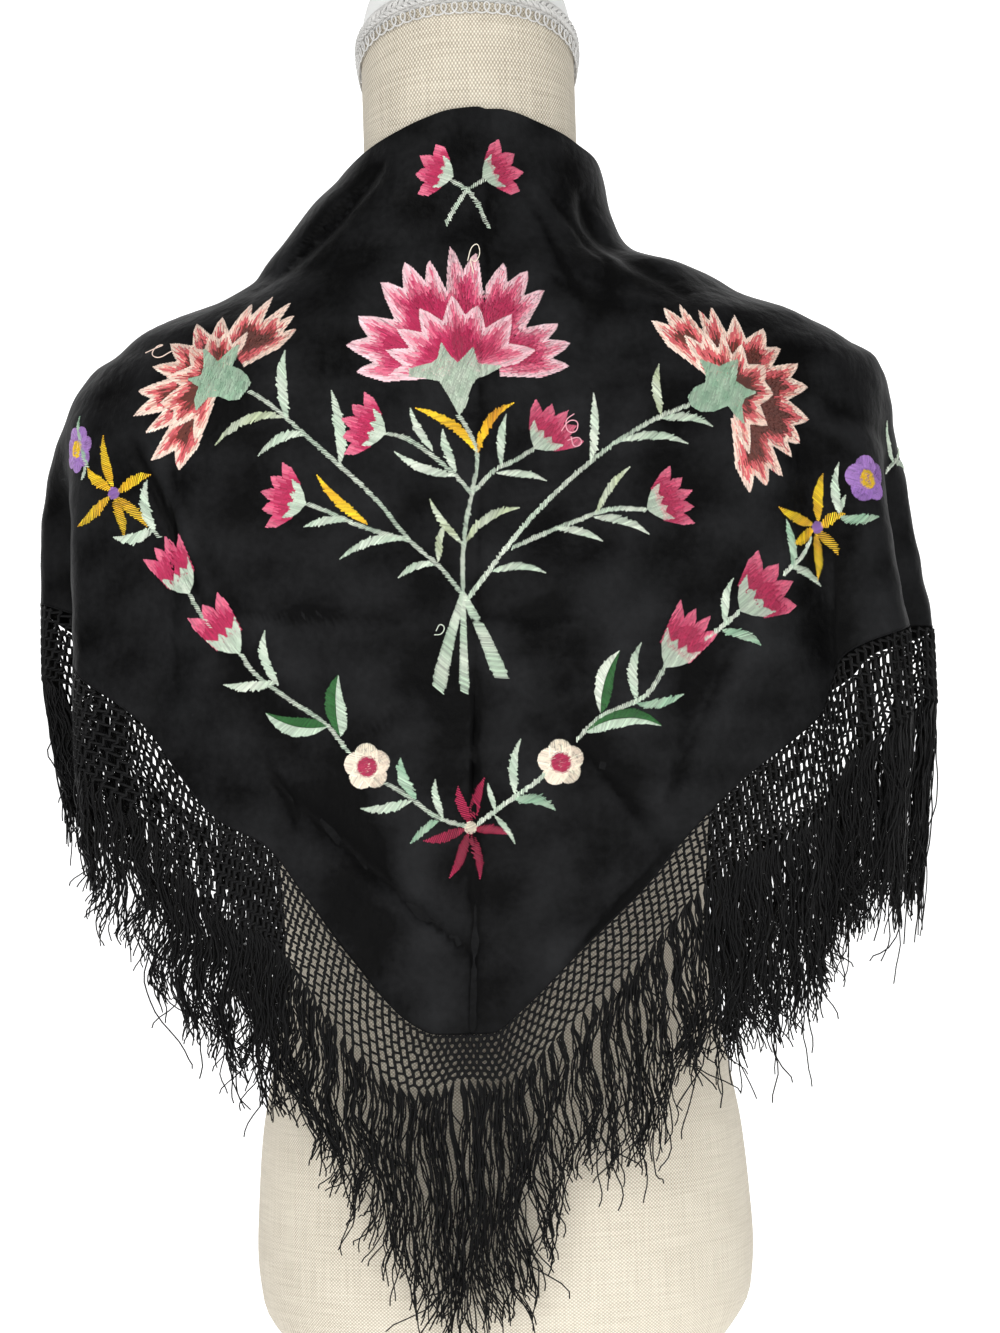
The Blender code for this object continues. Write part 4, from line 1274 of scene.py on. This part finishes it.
# name, centre of the teeth, centre of the cup, bands, tiers: each a root, a lift and petals of teeth, which
# are headings (0 up, positive right) and reaches
CARNATIONS = (
    ("middle", (-7.5, 556), (-10, 552), MIDDLE_BANDS, (
        (20, 0.0, (
            ((-86, 57), (-73, 65), (-58, 65)), ((-39, 68), (-25, 70), (-14, 66)), ((-4, 72), (8, 68)),
            ((21, 66), (33, 67), (45, 64)), ((63, 58), (75, 60), (87, 57)),
        )),
        (6, 0.5, (
            ((-87, 38), (-70, 43)), ((-53, 43),), ((-31, 43),), ((-6, 44), (14, 39)), ((40, 42),),
            ((73, 41),),
        )),
    )),
    ("left", (-139, 560), (-140, 561), SIDE_BANDS, (
        (14, 0.0, (
            ((-152, 55), (-135, 60)), ((-121, 53),), ((-108, 56), (-94, 51)), ((-78, 43),), ((-57, 40),),
            ((-30, 38),), ((-5, 36),), ((18, 44), (31, 52)), ((43, 56), (51, 52), (59, 49)),
        )),
        (6, 0.5, (
            ((-153, 36),), ((-132, 38), (-107, 38)), ((-85, 33),), ((-48, 27),), ((-18, 27), (5, 26)),
            ((30, 29),),
        )),
    )),
    ("right", (136, 543), (135, 546), SIDE_BANDS, (
        (14, 0.0, (
            ((-45, 57), (-34, 58), (-25, 55)), ((-16, 48), (-6, 48)), ((11, 45),), ((34, 44), (53, 41)),
            ((69, 46), (86, 49)), ((106, 51), (122, 51), (133, 51)), ((147, 54), (159, 54), (170, 55)),
        )),
        (6, 0.5, (
            ((-37, 39), (-20, 35)), ((-3, 33),), ((19, 28),), ((56, 26), (92, 26)), ((129, 28),),
            ((163, 35),),
        )),
    )),
)


def sew_tier(work, centre, petals, root, bands, lift):
    """One tier of a carnation, petal beside petal. Each petal is a row of pointed teeth with the heading and
    the reach of each. The gaps between petals are deeper than those between the teeth of one."""
    tips = [tip for petal in petals for tip in petal]
    firsts = set(np.cumsum([0] + [len(petal) for petal in petals]).tolist())
    headings = [heading for heading, _reach in tips]
    reaches = [reach for _heading, reach in tips]
    ends = (headings[0] - END_MARGIN, headings[-1] + END_MARGIN)
    between = [ends[0]] + [(a + b) / 2 for a, b in zip(headings, headings[1:])] + [ends[1]]
    shorter = [reaches[0]] + [min(a, b) for a, b in zip(reaches, reaches[1:])] + [reaches[-1]]
    gaps = [PETAL_GAP if order in firsts else TOOTH_GAP for order in range(len(between))]
    low = [centre + compass(h) * r * (1 - gap) for h, r, gap in zip(between, shorter, gaps)]
    high = [centre + compass(h) * r for h, r in tips]
    edge = [centre + compass(ends[0]) * root]
    for order, tip in enumerate(high):
        out = 0.03 * reaches[order] * compass(headings[order])
        rounds = [TOOTH_BELLY * tip + (1 - TOOTH_BELLY) * low[order + after] + out for after in (0, 1)]
        edge += [low[order], rounds[0], tip, rounds[1]]
    edge += [low[-1], centre + compass(ends[1]) * root]
    tint = banded(work, edge, bands)
    for order, heading in enumerate(headings):
        outline = edge[4 * order + 1 : 4 * order + 6]
        foot = [centre + compass(between[order + side]) * root for side in (1, 0)]
        way = compass(heading)
        fill(work, outline + foot, math.atan2(way[1], way[0]), tint, lift)


# outlines of the cups that hold the carnations, about their centres
CUPS = {
    "middle": (
        (0, -18), (4, -12), (6.5, -3), (10, 2), (16, 4), (24, 8), (17, 9), (10.5, 10), (8.5, 19), (4, 14),
        (0, 10), (-4, 14), (-8.6, 22), (-10.5, 13), (-14, 10.5), (-20, 9.5), (-26, 8), (-26, 4), (-18, 3),
        (-10, 1), (-5.5, -7),
    ),
    "left": (
        (16, -8), (11, -13), (5, -13), (-1, -10.5), (-7, -11), (-11, -15), (-14, -18), (-15, -12), (-12, -5),
        (-19, -0.5), (-11, 1), (-9, 7), (-10, 16), (-5, 12), (-1, 8), (5, 13), (11, 17), (10, 10), (7, 5),
        (12, 3), (16, -1), (18, -5),
    ),
    "right": (
        (-20, -10), (-22, -5), (-18, 0), (-12, 2.5), (-11.5, 8), (-15, 15), (-9, 13), (-4, 11), (1, 13),
        (7, 15), (6, 9), (5, 3), (11, -1), (17, -3), (10, -6), (8, -10), (9, -20), (4, -15), (0, -10),
        (-8, -13), (-15, -13),
    ),
}


def sew_carnation(work, name, centre, cup_centre, bands, tiers):
    for root, lift, petals in tiers:
        sew_tier(work, np.array(centre, float), petals, root, bands, lift)
    cup = [np.array(cup_centre) + np.array(point) for point in CUPS[name]]
    colour = "sage" if name == "middle" else "mint"
    fill(work, cup, math.radians(68), lambda points: patchy(points, colour), tiers[-1][1] + 0.5, 3.6)


def patchy(points, colour):
    """A green that changes to its neighbour in patches."""
    share = 0.5 + 0.5 * np.sin(points[:, 0] * 0.55) * np.cos(points[:, 1] * 0.43)
    return blend_tones(colour, LIGHTER[colour], share * 0.75)


# the small pinks, as shares of their length: how far the gaps between the teeth and the teeth's shoulders
# reach, and one side of the cup's zigzag rim, as up and out
GAP_REACH = 0.66
SHOULDER_REACH = 0.74
CUP_RIM = ((0.16, 0.55), (0.33, 0.98), (0.55, 1.12), (0.40, 0.55), (0.50, 0.28), (0.36, 0.0))


def sew_pink(work, base, tip, opening, teeth):
    """A small pink: pointed teeth that rise out of a pale cup with a zigzag rim."""
    base, tip = np.array(base, float), np.array(tip, float)
    length = float(np.linalg.norm(tip - base))
    heading = math.degrees(math.atan2(*(tip - base)))
    way, side = compass(heading), compass(heading + 90)
    wide = 0.19 + 0.0022 * opening
    tall = 1.3 - 0.0075 * opening
    foot = base + way * (0.34 - 0.004 * opening) * length
    step = 1.6 * opening / teeth
    fan = [base + (0.3 * tall * way - wide * side) * length]
    for tooth in range(teeth):
        turn = heading + step * (tooth - (teeth - 1) / 2)
        reach = length * (0.92 - 0.05 * (tooth % 2))
        if tooth:
            fan.append(foot + compass(turn - step / 2) * GAP_REACH * length)
        shoulders = [foot + compass(turn + side * step * 0.36) * SHOULDER_REACH * length for side in (-1, 1)]
        fan += [shoulders[0], foot + compass(turn) * reach, shoulders[1]]
    fan.append(base + (0.3 * tall * way + wide * side) * length)

    def tint(points):
        away = np.linalg.norm(points - foot, axis=1) / length
        away = away + work.random.normal(0, 0.045, len(away))
        outer = blend_tones("rose", "mid pink", (away - 0.6) * 6)
        return np.where((away < 0.58)[:, None], tone("magenta"), outer)

    fill(work, fan, math.atan2(way[1], way[0]), tint, 0.1, 4)
    right = [base + (up * tall * way + out * wide * side) * length for up, out in CUP_RIM]
    left = [base + (up * tall * way - out * wide * side) * length for up, out in CUP_RIM[-2::-1]]
    cup = [base + 0.02 * way * length] + right + left
    fill(work, cup, math.atan2(way[1], way[0]), lambda points: patchy(points, "sage"), 0.35, 5)


def oval(centre, reach, count):
    turns = np.linspace(0, math.tau, count, endpoint=False)
    return np.asarray(centre) + np.asarray(reach) * np.stack([np.cos(turns), np.sin(turns)], axis=1)


def sew_disc(work, centre, reach, colour, lift):
    fill(work, oval(centre, reach, 22), math.radians(20), lambda points: tone(colour), lift, 5, 0.45)


def sew_star(work, centre, tips, colour, middle):
    """Long pointed petals round a small disc."""

    def tint(share):
        if colour == "yellow":
            return blend_tones("yellow", "ochre", np.sin(share * 7) * 0.5 + share * 0.4)
        return blend_tones("burgundy", "magenta", share * 0.5)

    width = leaf_width(6.2 if colour == "yellow" else 5.6)
    for tip in tips:
        start = np.array(centre) + 0.1 * (np.array(tip) - np.array(centre))
        ribbon(work, bent(start, tip, 0.04), width, tint, 0.75, ragged=0.1)
    sew_disc(work, centre, (3.3, 3.3), middle, 0.35)


def sew_daisy(work, centre, reach, petals, colour, middle, middle_reach):
    """Round petals side by side about a disc."""
    centre, reach = np.array(centre, float), np.array(reach, float)
    other = {"purple": "lilac", "ivory": "cream"}[colour]
    for petal in range(petals):
        turn = math.tau * (petal + 0.3) / petals
        way = np.array([math.cos(turn), math.sin(turn)])
        size = math.sin(math.pi / petals) * 0.9
        outline = oval(centre + way * reach * (1 - size), reach * size, 16)
        shade = work.random.uniform(0, 0.7)
        fill(work, outline, turn, lambda points, shade=shade: blend_tones(colour, other, shade), 0.0, 5)
    sew_disc(work, centre, reach * 0.5, colour, 0.1)
    if middle == "magenta":
        sew_disc(work, centre, (middle_reach[0] + 0.9, middle_reach[1] + 0.9), "wine", 0.25)
    sew_disc(work, centre, middle_reach, middle, 0.45)


def sew_stalks(work):
    """The cut ends of the stems, which widen towards their bottoms."""
    for across, height, width in STALKS:
        halfway = (STALK_HUB[0] * 0.45 + across * 0.55, (STALK_HUB[1] + height) / 2)
        line = (STALK_HUB, halfway, (across, height))

        def half(share, width=width):
            return width / 2 * (0.38 + 0.62 * share) * np.where(share > 0.94, 0.8, 1)

        def tint(share):
            return blend_tones("sage", "pale sage", np.sin(share * 11 + across) * 0.5 + 0.4)

        ribbon(work, line, half, tint, 0.5, ragged=0.06, pitch=0.7)


# what peeks over the shoulders from the front: colours, half width, line
SHOULDER_PEEKS = (
    ("pale pink", 1.6, ((-143, 641), (-147, 634), (-150, 628))),
    ("pale sage", 1.3, ((176, 612), (184, 607), (192, 602))),
    ("ivory", 1.5, ((193, 604), (201, 600), (208, 596))),
)

LOOSE_RADIUS = 0.3

# loose ends: colour, then across, height and lift along each
LOOSE_THREADS = (
    ("ivory", (
        (-3, 619, 0.5), (-1, 626, 2), (3, 628, 2.5), (4, 622, 2), (1, 617, 1.5), (-2, 621, 1), (0, 612, 0.5),
    )),
    ("shell", (
        (44, 524, 0.6), (48, 530, 2.5), (53, 529, 3), (52, 523, 2.5), (47, 523, 2), (46, 530, 2),
        (51, 533, 1),
    )),
    ("shell", ((47, 519, 0.6), (53, 521, 2), (55, 517, 2.5), (50, 515, 2), (49, 521, 1))),
    ("cream", (
        (-170, 577, 0.5), (-176, 572, 2), (-182, 574, 2.5), (-180, 580, 2), (-174, 580, 2), (-188, 577, 1),
    )),
    ("pale sage", ((-26, 420, 0.5), (-24, 424, 1.5), (-21, 422, 1.5), (-23, 418, 1), (-27, 418, 0.5))),
)


def cut_corners(line, times):
    """A line with each corner cut off, over and over, until it runs round."""
    for _time in range(times):
        cuts = np.stack([line[:-1] * 0.75 + line[1:] * 0.25, line[:-1] * 0.25 + line[1:] * 0.75], axis=1)
        line = np.concatenate([line[:1], cuts.reshape(-1, line.shape[1]), line[-1:]])
    return line


def make_loose_threads(silk, finish):
    """Loops that have pulled out of the work."""
    lines, tints = [], []
    for colour, line in LOOSE_THREADS:
        at = np.linspace(0, 1, 40)
        rounded = cut_corners(np.array(line, float), 3)
        stations = np.linspace(0, 1, len(rounded))
        across, height, lift = (np.interp(at, stations, rounded[:, way]) for way in range(3))
        lines.append(silk.across_at(across, height, lift))
        tints.append(tone(colour))
    return make_threads("loose_threads", lines, LOOSE_RADIUS, finish, ("black_silk",), 4, np.array(tints))


# the border's stem along the right front tail, where the photograph doesn't look: across and height
TAIL_STEM = ((300, 520), (350, 500), (400, 470), (440, 430))


def sew_tail(work, side):
    """The rest of the border, finished plainly: a stem with leaves, two pinks and a star."""
    line = [(side * across, height) for across, height in TAIL_STEM]
    ribbon(work, line, stem_width, tone("pale sage"))
    points, ways, _length = way_along(line, 7)
    for order in range(1, 6):
        away = np.array([-ways[order][1], ways[order][0]]) * (1 if order % 2 else -1)
        tip = points[order] + ways[order] * 14 + away * 18
        sew_leaf(work, points[order], tip, 5.4, 0.08, "sage" if order % 2 else "mint")
    for order in (2, 4):
        away = np.array([-ways[order][1], ways[order][0]]) * (-1 if order % 2 else 1)
        foot = points[order] + away * 4
        sew_pink(work, foot, foot + away * 22 + ways[order] * 10, 60, 5)
    end = np.array(line[-1]) + np.array([side * 4.0, -16.0])
    tips = [end + compass(60 * petal + 12) * 22 for petal in range(6)]
    sew_star(work, end, tips, "yellow", "purple")


MIDDLE_PART = (-60, 42)  # the motifs between these places across belong to the middle part


def stem_width(share):
    return np.full(np.shape(share), STEM_HALF)


def stem_tint(share):
    return blend_tones("sage", "pale sage", 0.55 + 0.45 * np.sin(share * 17))


def nearest_part(across):
    return "left" if across < MIDDLE_PART[0] else "right" if across > MIDDLE_PART[1] else "middle"


def make_embroidery(silk):
    """All motifs, sewn in three parts by where they lie across the back."""
    parts = {name: Stitching(seed) for seed, name in enumerate(("left", "middle", "right", "tails"), start=7)}
    finish = thread_look("embroidery silk", 0.36)
    for _name, line in STEMS:
        part = parts[nearest_part(np.mean([point[0] for point in line]))]
        ribbon(part, line, stem_width, stem_tint)
    sew_stalks(parts["middle"])
    for sew, rows in ((sew_leaf, LEAVES), (sew_two_tone, TWO_TONE_LEAVES)):
        for row in rows:
            sew(parts[nearest_part(row[0])], row[0:2], row[2:4], *row[4:])
    for sew, rows in ((sew_star, STARS), (sew_daisy, DAISIES)):
        for row in rows:
            sew(parts[nearest_part(row[0][0])], *row)
    for row in PINKS:
        sew_pink(parts[nearest_part(row[0])], row[0:2], row[2:4], *row[4:])
    for row in CARNATIONS:
        sew_carnation(parts[row[0]], *row)
    for colour, half, line in SHOULDER_PEEKS:

        def width(share, half=half):
            return half * np.sin(math.pi * share) ** 0.6 + 0.3

        ribbon(parts["tails"], line, width, tone(colour))
    sew_tail(parts["tails"], -1)
    sew_tail(parts["tails"], 1)
    made = [parts[name].make("embroidery_" + name, silk, finish) for name in parts]
    return made + [make_loose_threads(silk, finish)]


# ---------------------------------------------------------------- net and fringe


def net_knots(first, last, random):
    """Knots of the net for half columns first to last: their tops and bottoms, each [half column, row]."""
    halves = np.arange(first, last + 1)
    rows = np.arange(NET_ROWS + 1)
    half, row = np.meshgrid(halves, rows, indexing="ij")
    start = half * NET_PITCH / 2
    down = row / NET_ROWS
    place = start + read(NET_SLANT, start)[0] * down + random.normal(0, 0.22, half.shape) * (row > 0)
    place = np.clip(place, -TAIL_END, TAIL_END)
    ends = []
    for knot in (-NET_KNOT, NET_KNOT):
        share = np.clip((row + knot + random.normal(0, 0.05, half.shape)) / NET_ROWS, 0, 1)
        ends.append(below_hem(place, share * (net_depth(place) + NET_GAP)))
    return halves, ends[0], ends[1], place


def net_run(run):
    """The knots of a run in the net's top row: the first, and the one after the last."""
    _name, first, last = run
    return round(first / NET_PITCH), round(last / NET_PITCH)


def make_net(run, knots, finish):
    """Cords that zigzag down from the hem, two to each knot."""
    halves, tops, bottoms, _place = knots
    lines, crowding = [], []
    middle, spread, thicker = NET_CROWDING
    for column in range(*net_run(run)):
        crowded = 1 + thicker * math.exp(-(((column * NET_PITCH - middle) / spread) ** 2))
        for side in (-1, 1):
            points = []
            for row in range(NET_ROWS + 1):
                index = 2 * column + side * (row % 2) - halves[0]
                if row:
                    points.append((points[-1] + tops[index, row]) / 2)
                    points.append(tops[index, row])
                points.append(bottoms[index, row])
            lines.append(points)
            crowding.append(crowded)
    row_radii = np.array([NET_KNOT_CORD] + [NET_CORD, NET_KNOT_CORD, NET_KNOT_CORD] * NET_ROWS)
    radii = row_radii[None] * np.array(crowding)[:, None]
    return make_threads("net_" + run[0] + "_cords", lines, radii, finish, ("net_silk", "net_" + run[0]))


def clumps(count, random):
    """For each of count knots, the number of the middle knot of the clump that it clings to."""
    middles = []
    while len(middles) < count:
        size = int(random.integers(*CLUMP_SIZES))
        middle = len(middles) + (size - 1) / 2
        middles += [middle] * size
    return np.array(middles[:count])


def deep(values):
    """One value for each knot, as threads and their points need it."""
    return values[:, None, None]


def make_fringe(run, knots, finish, random):
    """Long threads from every knot of the last row: they cling in small clumps that part and join again,
    wave, cross, and curl at their ends."""
    halves, _tops, bottoms, place = knots
    chosen = 2 * np.arange(*net_run(run)) + (NET_ROWS % 2) - halves[0]
    roots, places = bottoms[chosen, -1], place[chosen, -1]
    count = len(roots)
    along = unit(np.gradient(roots[:, :2], axis=0))
    level = np.concatenate([[0], np.cumsum(np.linalg.norm(np.diff(roots[:, :2], axis=0), axis=1))])
    middle = clumps(count, random)
    pull = deep(np.interp(middle, np.arange(count), level) - level)
    own = random.normal(0, 1, (2 * count + 12, 5))[np.round(2 * middle).astype(int)][..., None, None]
    shape = (count, THREADS_PER_KNOT[run[0].split("_")[0]], 1)
    share = (1 - (1 - np.linspace(0, 1, THREAD_POINTS)) ** 1.15)[None, None]
    phases = random.uniform(0, math.tau, (4, *shape))
    near = deep(level)
    start = ramp(share, 0, 0.05)
    usual, spread, most = CLUMP_HOLD
    hold = np.clip(usual + spread * own[:, 0], 0.0, most) * random.uniform(0.75, 1.1, shape)
    joined = 0.66 + 0.34 * np.sin(math.pi * (2.2 + own[:, 1]) * share + own[:, 2])
    cling = hold * ramp(share, 0.03, 0.32) * joined
    sway = CLUMP_SWAY * own[:, 3] * share * np.sin(2.4 * math.pi * share + own[:, 4])
    shared = 1.5 * start * np.sin(near / 11 + 4.2 * math.pi * share)
    shared = shared + 2.2 * share * np.sin(near / 29 + 7 * share)
    apart = random.normal(0, 1.2, shape) * ramp(share, 0.05, 0.5)
    apart = apart + random.uniform(-ROOT_SPREAD, ROOT_SPREAD, shape) * start
    wave = (0.6 + 1.5 * share**1.2) * np.sin(math.tau * random.uniform(1.5, 3.5, shape) * share + phases[0])
    crimp = CRIMP * np.sin(math.tau * random.uniform(4.5, 7, shape) * share + phases[1])
    strays = random.random(shape) < STRAY_SHARE
    stray = strays * random.normal(0, STRAY_REACH, shape) * np.sin(math.pi * share * 1.1) ** 2
    curl = random.normal(0, END_CURL, shape) * (1 + 2 * (random.random(shape) < 0.15))
    curl = curl * ramp(share, 0.78, 1) ** 1.4
    aside = pull * cling + sway + shared + apart + (wave + crimp) * start + stray + curl
    out = random.normal(0, 1.5, shape) * ramp(share, 0, 0.3)
    out = np.clip(out + 0.9 * start * np.sin(2 * math.tau * share + phases[2]), -MOST_OUT, MOST_OUT)
    lengths = deep(read(FRINGE_LENGTHS, places)[0]) * random.uniform(0.82, 1.05, shape) + 4 * own[:, 3]
    lengths = lengths * (1 + LONG_EXTRA * (random.random(shape) < LONG_SHARE))
    hook = (random.random(shape) < HOOK_SHARE) * random.uniform(2, 10, shape) * ramp(share, 0.84, 1) ** 2
    inwards = deep(-SIDE_DRIFT * ramp(np.abs(places), 195, 275) * np.sign(places)) * share**0.8
    root_x, root_y, root_z = (deep(roots[:, way]) for way in range(3))
    way_x, way_y = (deep(along[:, way]) for way in range(2))
    x = inwards + root_x + way_x * aside + way_y * out
    y = root_y + way_y * aside - way_x * out
    z = np.maximum(root_z - lengths * share + hook, LOWEST_THREAD)
    lines = np.stack(np.broadcast_arrays(x, y, z), axis=-1).reshape(-1, THREAD_POINTS, 3)
    radii = THREAD_RADIUS * (1 - 0.2 * np.linspace(0, 1, THREAD_POINTS))
    place = ("fringe_silk", "fringe_" + run[0])
    return make_threads("fringe_" + run[0] + "_threads", lines, radii, finish, place)


# ---------------------------------------------------------------- putting it together


def dress(piece, slot, *nodes):
    """A finished piece rides on the one body, and stands for some nodes. Its slot is not used."""
    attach(piece, "root")
    if nodes:
        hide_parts(*nodes)


# the stage and the lights, in metres
SWEEP_FRONT = -4.0
SWEEP_START = 1.2
SWEEP_RADIUS = 0.9
SWEEP_TOP = 4.0
SWEEP_HALF_WIDTH = 4.5


def make_stage():
    """A pale floor that sweeps up into the backdrop behind the form."""
    bends = np.linspace(0, math.pi / 2, 16)[1:]
    profile = [(SWEEP_FRONT, 0.0), (SWEEP_START, 0.0)]
    profile += [(SWEEP_START + SWEEP_RADIUS * math.sin(b), SWEEP_RADIUS * (1 - math.cos(b))) for b in bends]
    profile.append((SWEEP_START + SWEEP_RADIUS, SWEEP_TOP))
    points = [(x, y, z) for y, z in profile for x in (-SWEEP_HALF_WIDTH, SWEEP_HALF_WIDTH)]
    faces = [(2 * i, 2 * i + 1, 2 * i + 3, 2 * i + 2) for i in range(len(profile) - 1)]
    mesh = bpy.data.meshes.new("stage_sweep")
    mesh.from_pydata(points, [], faces)
    mesh.materials.append(stage_look())
    mesh.shade_smooth()
    link_object("stage_sweep", mesh)


FORM_MIDDLE = (0, 0, 0.42)
AIR_LIGHT = 0.30

# name, place, what it points at, size across and up, power in watts
LIGHTS = (
    ("key light", (-1.3, -2.2, 1.7), FORM_MIDDLE, (1.6, 1.6), 35),
    ("fill light", (1.7, -1.9, 1.0), FORM_MIDDLE, (1.6, 1.8), 16),
    ("top light", (0.1, -0.2, 2.3), FORM_MIDDLE, (1.6, 1.2), 6),
    ("low light", (0.1, -2.3, 0.12), (0, 0, 0.2), (1.8, 0.5), 20),
)


def make_light(name, place, target, size, power):
    lamp = bpy.data.lights.new(name, "AREA")
    lamp.shape = "RECTANGLE"
    lamp.size, lamp.size_y = size
    lamp.energy = power
    light = bpy.data.objects.new(name, lamp)
    bpy.context.scene.collection.objects.link(light)
    way = np.array(target) - np.array(place)
    level = math.hypot(way[0], way[1])
    light.location = place
    light.rotation_euler = (math.pi / 2 + math.atan2(way[2], level), 0, math.atan2(-way[0], way[1]))


def make_lights():
    for row in LIGHTS:
        make_light(*row)
    world = bpy.data.worlds.new("studio air")
    world.use_nodes = True
    air = world.node_tree.nodes["Background"].inputs
    air["Color"].default_value = (1, 1, 1, 1)
    air["Strength"].default_value = AIR_LIGHT
    bpy.context.scene.world = world


CAMERA_PLACE = (0.0073, -1.75, 0.4)
CAMERA_ROLL = math.radians(1.86)
CAMERA_LENS = 111.5


def make_camera():
    lens = bpy.data.cameras.new("camera")
    lens.lens = CAMERA_LENS
    lens.sensor_width = 36
    lens.sensor_fit = "HORIZONTAL"
    camera = bpy.data.objects.new("camera", lens)
    camera.location = CAMERA_PLACE
    camera.rotation_euler = (math.pi / 2, CAMERA_ROLL, 0)
    bpy.context.scene.collection.objects.link(camera)
    bpy.context.scene.camera = camera


def main():
    make_camera()
    make_stage()
    make_lights()
    bpy.context.scene.view_settings.view_transform = "Standard"
    silk = Silk()
    make_form_body()
    make_cap()
    make_braid()
    silk_finish = silk_look()
    cloth = make_silk(silk, silk_finish)
    trims = [make_hem(silk, silk_finish)]
    trims += make_embroidery(silk)
    # the cords' dark and light colours are the painted shade and painted highlight of their windings
    net_finish = black_cord_look("black net cord", (0.012, 0.012, 0.014), (0.05, 0.05, 0.054), 0.5)
    fringe_finish = black_cord_look("black fringe thread", (0.01, 0.01, 0.012), (0.04, 0.04, 0.044), 0.48)
    random = np.random.default_rng(2)
    edge = int(TAIL_END / NET_PITCH) * 2 + 2
    knots = net_knots(-edge, edge, random)
    for run in RUNS:
        trims.append(make_net(run, knots, net_finish))
        trims.append(make_fringe(run, knots, fringe_finish, random))


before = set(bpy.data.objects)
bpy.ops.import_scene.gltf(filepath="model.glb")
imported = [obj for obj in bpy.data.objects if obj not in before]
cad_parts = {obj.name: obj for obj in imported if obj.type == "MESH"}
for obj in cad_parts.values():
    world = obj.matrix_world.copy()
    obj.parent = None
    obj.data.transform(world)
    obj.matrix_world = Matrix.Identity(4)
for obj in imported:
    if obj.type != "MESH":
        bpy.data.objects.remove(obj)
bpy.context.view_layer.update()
TREE = thread_tree()
main()
